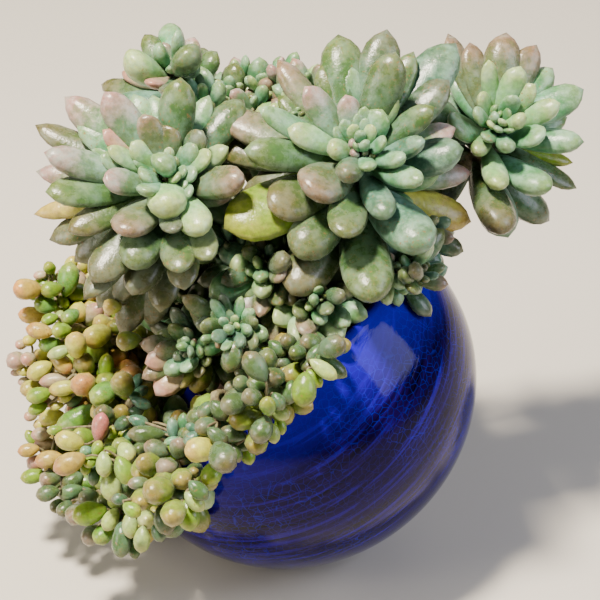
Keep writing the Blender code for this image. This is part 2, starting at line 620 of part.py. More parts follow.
def make_soil(stems, target, cutter_group, finish):
    """The soil: one solid with a level top and a plain hole for every stem."""
    soil = bake_place(turned("soil", soil_profile(), POT_STEPS, target))
    cutters = []
    turn = Vector(AXIS).to_track_quat("Z", "Y").to_matrix().to_4x4()
    for name, (_, radius, hole) in stems.items():
        mesh = bpy.data.meshes.new(name + "_hole")
        shape = bmesh.new()
        room = (radius + SEAT_GAP) / math.cos(math.pi / HOLE_SIDES)
        bmesh.ops.create_cone(
            shape, cap_ends=True, segments=HOLE_SIDES, radius1=room, radius2=room, depth=3 * HOLE_DEPTH
        )
        shape.transform(turn)
        middle = SOIL_HEIGHT - HOLE_DEPTH - SEAT_GAP + 1.5 * HOLE_DEPTH
        place = CENTRE + hole[0] * ACROSS + hole[1] * ALONG + middle * AXIS
        bmesh.ops.translate(shape, verts=shape.verts, vec=place)
        shape.to_mesh(mesh)
        shape.free()
        cutters.append(add_object(name + "_hole", mesh, cutter_group))
    cut(soil, cutters, cutter_group)
    soil.data.materials.clear()
    soil.data.materials.append(finish)
    return soil


def make_stem(name, path, radius, sides, target):
    """A stem as a round tube along its path, with welded caps."""
    line = bpy.data.curves.new(name, "CURVE")
    line.dimensions = "3D"
    line.bevel_depth = radius
    line.bevel_resolution = (sides - 4) // 2
    line.use_fill_caps = True
    spline = line.splines.new("POLY")
    spline.points.add(len(path) - 1)
    for point, place, swell in zip(spline.points, path, stem_swell(len(path))):
        point.co = (*place, 1.0)
        point.radius = swell
    guide = add_object(name + "_line", line, target)
    bpy.context.view_layer.update()
    graph = bpy.context.evaluated_depsgraph_get()
    mesh = bpy.data.meshes.new_from_object(guide.evaluated_get(graph))
    bpy.data.objects.remove(guide)
    shape = bmesh.new()
    shape.from_mesh(mesh)
    bmesh.ops.remove_doubles(shape, verts=shape.verts, dist=MERGE)
    face_out(shape)
    bmesh.ops.triangulate(shape, faces=shape.faces)
    shape.to_mesh(mesh)
    shape.free()
    return add_object(name, mesh, target)


def make_leaf(name, root, way, axis, size, shape_row, rings, target):
    """One plump leaf: a sphere whose points are moved to the leaf's swelling, bent outline."""
    width, thick, curl = shape_row
    lean = unit(axis - (axis @ way) * way)
    broad = np.cross(way, lean)
    shape = bmesh.new()
    bmesh.ops.create_uvsphere(shape, u_segments=5, v_segments=rings, radius=1.0)
    for vert in shape.verts:
        t = (1 - vert.co.z) / 2
        reach = math.hypot(vert.co.x, vert.co.y)
        swell = leaf_swell(t) * size / 2 if reach > 1e-6 else 0.0
        side = vert.co.x / max(reach, 1e-9)
        depth = vert.co.y / max(reach, 1e-9)
        middle = root + size * (way * t + lean * curl * t**2)
        vert.co = Vector(middle + swell * (width * side * broad + thick * depth * lean))
    face_out(shape)
    bmesh.ops.triangulate(shape, faces=shape.faces)
    mesh = bpy.data.meshes.new(name)
    shape.to_mesh(mesh)
    shape.free()
    return add_object(name, mesh, target)


def keep_body(mesh):
    """Keep the mesh's largest closed body: sealed hollows between leaves and loose scraps go."""
    shape = bmesh.new()
    shape.from_mesh(mesh)
    left = set(shape.faces)
    bodies = []
    while left:
        body = set()
        edge_of = [left.pop()]
        while edge_of:
            face = edge_of.pop()
            body.add(face)
            near = {f for edge in face.edges for f in edge.link_faces} & left
            left -= near
            edge_of.extend(near)
        volume = sum(f.calc_center_median().dot(f.normal) * f.calc_area() / 3 for f in body)
        bodies.append((volume, body))
    bodies.sort(key=lambda item: item[0])
    for _, body in bodies[:-1]:
        bmesh.ops.delete(shape, geom=list(body), context="FACES")
    shape.to_mesh(mesh)
    shape.free()


def make_head(name, stem, leaves, form, target, finish):
    """A leafy stem as one solid: its stem and its leaves, joined by one union."""
    path, radius, _ = stem
    body = make_stem(name, path, radius, form["sides"], target)
    bunch = collection(name + "_leaves")
    made = [make_leaf(f"{name}_leaf_{i}", *leaf, form["rings"], bunch) for i, leaf in enumerate(leaves)]
    join = body.modifiers.new("Join leaves", "BOOLEAN")
    join.operation = "UNION"
    join.operand_type = "COLLECTION"
    join.collection = bunch
    join.solver = "MANIFOLD"
    apply_modifiers(body)
    for piece in made:
        bpy.data.objects.remove(piece)
    bpy.data.collections.remove(bunch)
    keep_body(body.data)
    body.data.materials.clear()
    body.data.materials.append(finish)
    return body


def main():
    """Clear the scene and build the pot, the soil and every leafy stem."""
    for old in list(bpy.data.objects):
        bpy.data.objects.remove(old)
    parts = collection("potted_sedum")
    cutter_group = collection("pot_cutters")
    hole_group = collection("soil_cutters")
    glaze = material("cobalt_glaze", (0.004, 0.006, 0.20), 0.12)
    earth = material("potting_soil", (0.035, 0.022, 0.014), 0.95)
    greens = {
        "broad": material("glaucous_leaf", (0.25, 0.42, 0.26), 0.5),
        "middle": material("sage_leaf", (0.22, 0.34, 0.19), 0.5),
        "bead": material("lime_leaf", (0.36, 0.42, 0.12), 0.45),
    }
    stems, owner, roots, ways, axes, sizes, shape = grow_plant()
    make_pot(parts, cutter_group, glaze)
    make_soil(stems, parts, hole_group, earth)
    for k, (name, stem) in enumerate(stems.items()):
        form = HEADS[name][2]
        mine = owner == k
        leaves = list(zip(roots[mine], ways[mine], axes[mine], sizes[mine], shape[mine]))
        make_head(name, stem, leaves, LEAF_FORMS[form], parts, greens[form])


main()
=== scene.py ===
"""Looks of a potted sedum: cobalt-glazed ball pot, potting mix and plump, powdery leaves.

The script is laid out as an add-on with one operator for each group of pieces, and is run as a script.
"""

import json
import math
from collections import namedtuple
from functools import lru_cache, partial

import bpy
import numpy as np
from bpy.props import FloatProperty, FloatVectorProperty, IntProperty, PointerProperty
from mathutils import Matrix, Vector

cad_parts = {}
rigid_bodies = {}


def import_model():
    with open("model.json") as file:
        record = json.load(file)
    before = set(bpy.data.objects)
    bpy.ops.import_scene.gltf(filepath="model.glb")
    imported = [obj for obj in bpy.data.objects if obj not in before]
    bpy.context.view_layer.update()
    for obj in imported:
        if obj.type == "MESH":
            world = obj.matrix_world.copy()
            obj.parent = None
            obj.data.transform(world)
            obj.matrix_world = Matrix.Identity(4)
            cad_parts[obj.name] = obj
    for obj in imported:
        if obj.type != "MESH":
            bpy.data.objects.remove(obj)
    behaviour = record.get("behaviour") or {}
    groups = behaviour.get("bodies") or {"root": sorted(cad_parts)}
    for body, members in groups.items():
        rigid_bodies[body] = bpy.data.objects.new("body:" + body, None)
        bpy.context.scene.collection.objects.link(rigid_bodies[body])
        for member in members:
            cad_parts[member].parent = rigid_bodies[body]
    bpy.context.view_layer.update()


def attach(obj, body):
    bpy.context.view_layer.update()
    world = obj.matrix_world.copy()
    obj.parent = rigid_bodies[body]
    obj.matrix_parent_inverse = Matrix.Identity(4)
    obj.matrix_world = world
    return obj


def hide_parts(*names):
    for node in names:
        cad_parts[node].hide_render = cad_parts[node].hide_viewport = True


bl_info = {
    "name": "Potted sedum",
    "version": (1, 0, 0),
    "blender": (4, 5, 0),
    "location": "View3D > Sidebar > Sedum",
    "description": "Builds the looks of a potted sedum round its packed frame",
    "category": "Object",
}

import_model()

MM = 0.001
SEED = 7

# Pot: the same driving sizes as the solids have.
POT_RADIUS = 82.3 * MM
POT_HALF_SHARE = 77.0 / 82.3  # half height against radius
POT_HALF_HEIGHT = POT_RADIUS * POT_HALF_SHARE
POT_WALL = 7.0 * MM
POT_LEAN = math.radians(40)
POT_TURN = math.radians(-20)
MOUTH_HEIGHT = 21.0 * MM
LIP_RADIUS = 3.4 * MM
LIP_LIFT = 0.3  # of its radius
BASE_RADIUS = 22.0 * MM
FOOT_CUT = 4.2 * MM
SOIL_HEIGHT = 4.0 * MM
SEAT_GAP = 0.3 * MM

# Pot: what only the looks have.
POT_SIDES = 128
POUR_TURN = np.array([0.0, -0.8, 0.6])  # turns the way that the glaze was poured from the pot's axis
STREAK_SPREAD = 1.6  # how many streaks the pattern drifts across as it goes round

# Stems: the same paths as the solids have.
HOLE_DEPTH = 12.0 * MM
HOLE_SPACING = 10.0 * MM
HOLE_REACH = 62.0 * MM
HOLE_SHARE = 0.6  # how far out a stem stands, against its tip
HOLE_ROUNDS = 400
HOLE_PUSH = 0.3  # of the missing gap, in one round
STEM_CLEAR = 3.0 * MM
STEM_RISE = 35.0 * MM
MOUTH_RADIUS = 72.0 * MM
RIM_CLEARANCE = 14.0 * MM
RIM_LIFT = 0.35  # more clearance for a tip above the rim, against its height there
STEM_PULL = 0.8  # length of a cubic's end vectors against its span
NECK_SHARES = (0.75, 0.03)  # first and last point of the straight end, against its length
GOLDEN_ANGLE = math.pi * (3 - math.sqrt(5))

# Stems: their mesh, leaf scars, side shoots and twigs.
STEM_SIDES = 8
STEM_STEP = 1.6 * MM
STEM_LEAST_RINGS = 12
STEM_POINT = 0.25  # radius at the very tip, against the stem's
STEM_SWELL = 0.5  # thicker by this share under its leaves
STEM_TAPER = 3.0 * MM
SCAR_SPACING = 3.4 * MM
SCAR_HEIGHT = 0.09  # of the stem's radius
TUBE_HINT = (0.31, 0.72, 0.62)  # any way that no stem starts along
BRANCH_BACK = 8 * MM  # how far below its parent's tip a side shoot leaves it, besides its own length
BRANCH_PULL = 0.6
TWIG_SIDES = 6
TWIG_POINTS = 6
TWIG_END = 0.5625  # radius at the bead against that at the stem

# Camera: where the photograph was taken from.
PICTURE_HALF = 300  # half the width of the photograph, in pixels
VIEW_ELEVATION = math.radians(36)
VIEW_DISTANCE = 1.0
VIEW_HALF_ANGLE = math.radians(7.55)
VIEW_NEAREST = 0.01
VIEW_CENTRE = np.array([5.0, -2.0, 75.0]) * MM
VIEW_OFFSET = np.array([2.65, 38.9]) * MM  # picture centre, right of and above the pot's centre
VIEW_RIGHT = np.array([1.0, 0.0, 0.0])
VIEW_UP = np.array([0.0, math.sin(VIEW_ELEVATION), math.cos(VIEW_ELEVATION)])
VIEW_TOWARD = np.array([0.0, -math.cos(VIEW_ELEVATION), math.sin(VIEW_ELEVATION)])

# Stage: each light's setting, its share of that setting's power, its place in metres, size and colour.
Light = namedtuple("Light", "name setting share place size colour")
LIGHTS = (
    Light("key_light", "key", 1, (-0.36, -0.14, 1.38), 0.18, "#fff3e0"),
    Light("left_light", "fill", 5, (-0.95, -0.40, 0.55), 0.50, "#fff8ee"),
    Light("fill_light", "fill", 4, (0.80, -0.24, 0.62), 0.56, "#e8ecff"),
    Light("rim_light", "fill", 1, (0.3, 0.9, 0.7), 0.6, "#ffffff"),
)
LIGHT_TARGET = VIEW_CENTRE + np.array([0, 0, 40]) * MM
ROOM_COLOUR = "#e9edf2"
ROOM_STRENGTH = 0.07
FLOOR_HALF = 3.0

# Ruled leaves. Ages run from 0 at the tip of the stem to 1 at its oldest leaf, and chances are the
# reach of random draws.
ROOT_POWER = 1.1  # roots step back with this power of the age
FACING_PULL = 0.6  # how far the leaves' axis turns from the stem's way to the head's
SIDE_HINT = (0.3, 0.2, 1.0)  # any way that no head faces
TURN_CHANCE = 0.15  # radians
OPEN_POWER = 0.62
OPEN_CHANCE = 5  # degrees
GROWTH = 1.3  # a leaf is full grown at 1 / this age
GROWTH_POWER = 0.8
WITHER = 0.12  # share that the oldest leaf has shrunk by, with the fourth power of the age
SIZE_CHANCE = (0.88, 1.08)
WIDTH_CHANCE = (0.9, 1.1)
CURL_CHANCE = (0.3, 1.8)
ROLL_CHANCE = 0.25  # radians
ROOT_SINK = 0.7  # how far from the stem's middle a leaf starts, against the stem's radius
HIDDEN_WAY = 0.1  # a leaf with less of its way towards the view counts as hidden
CENTRE_LEAVES = 6  # youngest leaves that a head with placed leaves keeps
OLD_SHARE = 0.4  # its other ruled leaves are older than this
SPARE_WAY = 0.4  # a ruled bead with more of its way towards the view makes room
BEAD_MIDDLE = 0.6  # place along a bead that stands for it there

# Placed leaves.
PLACED_BACK = 0.9  # how far back the outermost root stands, against the leafy stretch
PLACED_POWER = 1.3
FAR_BACK = 0.5  # least share of the leafy stretch for a leaf that points away
SIGHT_ROUNDS = 5
SIGHT_SLACK = 1.03  # how much longer a leaf is than its root's distance from the line of sight
STEP_BACK = 0.8
PLACED_SINK = 0.5
PLACED_WIDTH = 1.04
PLACED_THICK = 0.84
PLACED_CURL = (0.3, 1.5)
PLACED_ROLL = 0.15  # radians

# Crowding: how leaves are filled with balls and pushed apart.
SPINE = np.array([0.35, 0.62, 0.87])  # places along a leaf of its pairs of balls
LEVER = np.repeat(SPINE, 2)
LEAF_MIDDLE = 0.55  # place along a leaf that stands for it when neighbours are looked for
NEIGHBOUR_REACH = 0.6  # of both leaves' lengths
NEIGHBOUR_GAP = 3 * MM
BALL_SWELL = (0.75, 0.5)
PRESS_SAME = 0.88  # how close leaves of one head may lie, against touching
PRESS_OTHER = 0.94
POT_CLEAR = 0.4 * MM
TABLE_CLEAR = 1.0 * MM
TURN_RATE = 0.3
TURN_LIMIT = 0.1
TURN_BACK = 0.03
PLACED_STIFF = 8.0  # how little a placed leaf gives way, against a ruled one
DEEP_SHARE = 0.34  # of the thinner leaf: where a pair stands deeper in each other, one is slimmed
SLIM_ROUNDS = 8
SLIM = 0.95
SUNK_SLIM = 0.93
SUNK_DEPTH = 0.6 * MM
THINNEST = 0.5254  # thickness of a placed leaf against its breadth
DROP_SHARE = 0.64  # a ruled leaf slimmed below this share is dropped

# Leaf section: the inner half, to the head's axis, is flatter than the keeled outer half.
INNER_HALF = 0.82
OUTER_HALF = 1.12
KEEL = 0.10
LIGHT_CHANCE = (0.86, 1.14)  # how much lighter or darker a leaf is than its tone

# Leaf forms: width and thick are shares of the length, curl bends the tip to the head's axis, open
# is the angle to the axis of the youngest and the oldest leaf in degrees, young is the youngest
# leaf's share of the longest, foot and end shape the outline, sides and rings are its mesh.
Form = namedtuple("Form", "width thick curl open young foot end mucro stem sides rings")
FORMS = {
    "broad": Form(0.50, 0.38, 0.10, (12, 112), 0.16, 0.80, 0.36, 0.045, 2.8, 12, 9),
    "middle": Form(0.50, 0.38, 0.06, (12, 112), 0.34, 0.80, 0.40, 0.060, 1.9, 8, 7),
    "bead": Form(0.74, 0.68, 0.03, (10, 100), 0.40, 0.66, 0.48, 0.035, 1.5, 8, 7),
}

# Tones: skin, tip, and how much pale powder the leaf wears. Two of them are painted light and shade, not
# leaf colours: lit is a lighter green for leaves that stand in the light, shade a darker one for leaves in
# shadow.
Tone = namedtuple("Tone", "skin tip powder")
TONES = {
    "mint": Tone("#387a34", "#768838", 0.56),
    "green": Tone("#355610", "#5f661c", 0.26),
    "blue": Tone("#265634", "#566a38", 0.46),
    "olive": Tone("#405414", "#66501e", 0.20),
    "lime": Tone("#769812", "#989c26", 0.08),
    "yellow": Tone("#bebc42", "#be9c44", 0.12),
    "pink": Tone("#56743a", "#a85c5e", 0.54),
    "tan": Tone("#56602a", "#8a5c42", 0.30),
    "grey": Tone("#30501c", "#5a4e26", 0.28),
    # painted shade: a darker copy of the greens for leaves that lie in the shade of others
    "shade": Tone("#465220", "#64562c", 0.22),
    "sage": Tone("#3c5a18", "#62621e", 0.22),
    "orange": Tone("#b89a3a", "#bc783a", 0.14),
    "rose": Tone("#b0946c", "#bc6e5e", 0.34),
    "bright": Tone("#5c8a12", "#8a9420", 0.16),
    "bead": Tone("#7a8c1e", "#947c28", 0.12),
    "cream": Tone("#a5ba58", "#b2ac56", 0.22),
    "blush": Tone("#b4645a", "#c8606c", 0.25),
    # painted light: a lighter copy of the mint for leaves that stand in the light
    "lit": Tone("#74a254", "#a4ab54", 0.48),
}

# Heads, in millimetres: tip of the stem, way that it faces, length of its leafy neck in the solids,
# leaf form, number of leaves, longest leaf, length of stem that bears them here, and tones.
Head = namedtuple("Head", "tip facing neck form leaves longest leafy tones")
# MIDDLE draws the tone shade (painted shade), and CROWN and FRONT draw lit (painted light), among the leaf
# colours
ROSETTE = "mint mint blue tan pink green grey"
MIDDLE = "blue sage grey mint shade tan sage"
LEFT = "orange lime yellow bead rose lime yellow bright bead lime"
FRONT = "bead sage bead lime lit lime bead yellow bright"
RIM = "bead sage bead olive lime bead"
CROWN = "lit mint tan mint sage pink lit"
BACK = "sage bead olive green"
HEADS = {
    "rosette_left": Head((-47, -15, 195), (-0.12, -0.55, 0.83), 36, "broad", 46, 41, 36, ROSETTE),
    "rosette_middle": Head((32, -14, 207), (0.05, -0.50, 0.86), 40, "broad", 50, 44, 40, ROSETTE),
    "rosette_right": Head((92, 25, 196), (0.30, -0.45, 0.84), 34, "broad", 42, 38, 34, ROSETTE),
    "rosette_back": Head((-47, 48, 210), (-0.15, -0.25, 0.95), 20, "broad", 20, 26, 22, ROSETTE),
    "crown_left": Head((-24, 50, 194), (0.0, -0.30, 0.95), 15, "middle", 20, 26, 22, CROWN),
    "crown_middle": Head((-9, 54, 197), (0.1, -0.20, 0.97), 15, "middle", 20, 26, 22, CROWN),
    "crown_right": Head((13, 24, 212), (0.0, -0.35, 0.93), 15, "middle", 20, 25, 20, CROWN),
    "under_right": Head((58, -30, 158), (0.45, -0.55, 0.70), 14, "middle", 20, 19, 22, MIDDLE),
    "middle_top": Head((-7, -27, 160), (-0.15, -0.75, 0.65), 20, "middle", 34, 21, 26, MIDDLE),
    "middle_low": Head((-21, -50, 142), (-0.20, -0.80, 0.55), 18, "middle", 32, 18, 24, MIDDLE),
    "middle_left": Head((-39, -40, 125), (-0.45, -0.75, 0.45), 18, "middle", 32, 20, 24, MIDDLE),
    "middle_right": Head((16, -42, 153), (0.15, -0.80, 0.55), 20, "middle", 34, 21, 26, MIDDLE),
    "rim_1": Head((23, -67, 148), (0.15, -0.60, 0.80), 15, "bead", 24, 18, 36, RIM),
    "rim_2": Head((4, -58, 138), (-0.10, -0.50, 0.85), 15, "bead", 24, 17, 36, RIM),
    "rim_3": Head((-6, -83, 131), (-0.10, -0.60, 0.80), 15, "bead", 24, 17, 36, RIM),
    "rim_4": Head((-26, -81, 120), (-0.20, -0.60, 0.80), 15, "bead", 24, 17, 36, RIM),
    "front_1": Head((-73, -36, 81), (-0.25, -0.70, 0.65), 16, "bead", 24, 17, 36, FRONT),
    "front_2": Head((-68, -60, 50), (-0.20, -0.85, 0.45), 16, "bead", 24, 17, 36, FRONT),
    "front_3": Head((-43, -54, 90), (-0.10, -0.75, 0.65), 16, "bead", 24, 17, 36, FRONT),
    "front_4": Head((-42, -92, 87), (-0.10, -0.70, 0.70), 16, "bead", 24, 18, 36, FRONT),
    "front_5": Head((-104, -15, 45), (-0.60, -0.70, 0.40), 16, "bead", 24, 16, 36, LEFT),
    "front_6": Head((-87, -35, 38), (-0.40, -0.80, 0.40), 16, "bead", 24, 16, 36, FRONT),
    "side_1": Head((-99, 36, 96), (-0.70, -0.20, 0.70), 16, "bead", 24, 17, 36, LEFT),
    "side_2": Head((-90, 60, 96), (-0.60, 0.10, 0.75), 16, "bead", 24, 17, 36, LEFT),
    "side_3": Head((-104, 8, 78), (-0.75, -0.50, 0.40), 16, "bead", 24, 17, 36, LEFT),
    "side_4": Head((-76, 12, 92), (-0.30, -0.60, 0.75), 16, "bead", 24, 18, 36, LEFT),
    "side_5": Head((-74, -12, 82), (-0.20, -0.65, 0.70), 16, "bead", 24, 18, 36, LEFT),
    "side_6": Head((-92, -5, 60), (-0.50, -0.70, 0.50), 16, "bead", 24, 18, 36, LEFT),
    "back_1": Head((52, 62, 134), (0.50, 0.60, 0.60), 15, "middle", 26, 20, 26, BACK),
    "back_3": Head((8, 92, 100), (0.0, 0.70, 0.70), 15, "bead", 24, 18, 36, BACK),
    "back_4": Head((-35, 84, 72), (-0.40, 0.85, 0.35), 15, "bead", 24, 18, 36, BACK),
    "inner_1": Head((-2, 62, 150), (0.0, 0.65, 0.75), 17, "middle", 28, 22, 28, BACK),
}

# Side shoots that only the looks have. Each grows from the stem of its parent head. Its tip stands
# at a pixel of the 600-pixel photograph, at a depth in millimetres (world y), and it faces a way.
Branch = namedtuple("Branch", "parent pixel depth facing form leaves longest leafy")
BRANCHES = (
    Branch("side_1", (36, 290), 30, (-0.8, -0.3, 0.5), "bead", 20, 16, 30),
    Branch("side_1", (66, 328), 14, (-0.4, -0.7, 0.5), "bead", 20, 17, 30),
    Branch("side_2", (112, 276), 60, (0.1, -0.4, 0.9), "bead", 18, 15, 26),
    Branch("side_3", (30, 370), 10, (-0.9, -0.3, 0.2), "bead", 20, 16, 28),
    Branch("side_3", (74, 374), -6, (-0.3, -0.8, 0.4), "bead", 20, 17, 30),
    Branch("side_5", (138, 402), -34, (0.3, -0.7, 0.6), "bead", 20, 16, 28),
    Branch("front_6", (58, 490), -26, (-0.6, -0.7, 0.1), "bead", 20, 16, 28),
    Branch("front_1", (132, 468), -60, (0.0, -0.8, 0.5), "bead", 22, 17, 32),
    Branch("front_2", (146, 528), -76, (0.1, -0.8, 0.0), "bead", 20, 16, 28),
    Branch("front_4", (200, 486), -92, (0.5, -0.7, 0.3), "bead", 20, 16, 28),
    Branch("rim_4", (228, 450), -86, (0.3, -0.8, 0.5), "bead", 20, 16, 28),
    Branch("rim_3", (262, 372), -70, (-0.1, -0.7, 0.7), "bead", 20, 16, 28),
    Branch("rim_3", (296, 398), -80, (0.4, -0.7, 0.5), "bead", 20, 16, 28),
    Branch("rim_1", (318, 368), -70, (0.4, -0.7, 0.5), "bead", 20, 16, 28),
    Branch("middle_top", (226, 244), -14, (-0.4, -0.6, 0.6), "middle", 18, 24, 24),
    Branch("middle_left", (176, 306), -8, (-0.3, -0.6, 0.5), "middle", 22, 26, 24),
    Branch("middle_right", (296, 292), -26, (-0.1, -0.8, 0.4), "middle", 20, 24, 24),
    Branch("under_right", (428, 236), -8, (0.4, -0.7, 0.4), "middle", 22, 24, 24),
    Branch("under_right", (396, 274), -26, (0.2, -0.8, 0.2), "middle", 22, 24, 24),
    Branch("crown_left", (198, 104), 34, (-0.4, -0.5, 0.8), "middle", 20, 24, 22),
    Branch("crown_left", (238, 78), 60, (-0.1, 0.1, 1.0), "middle", 18, 24, 20),
    Branch("crown_middle", (258, 108), 36, (0.1, -0.5, 0.9), "middle", 20, 24, 22),
    Branch("crown_middle", (284, 76), 52, (0.2, 0.0, 1.0), "middle", 18, 24, 20),
    Branch("crown_right", (298, 112), 8, (-0.1, -0.5, 0.9), "middle", 22, 18, 20),
)
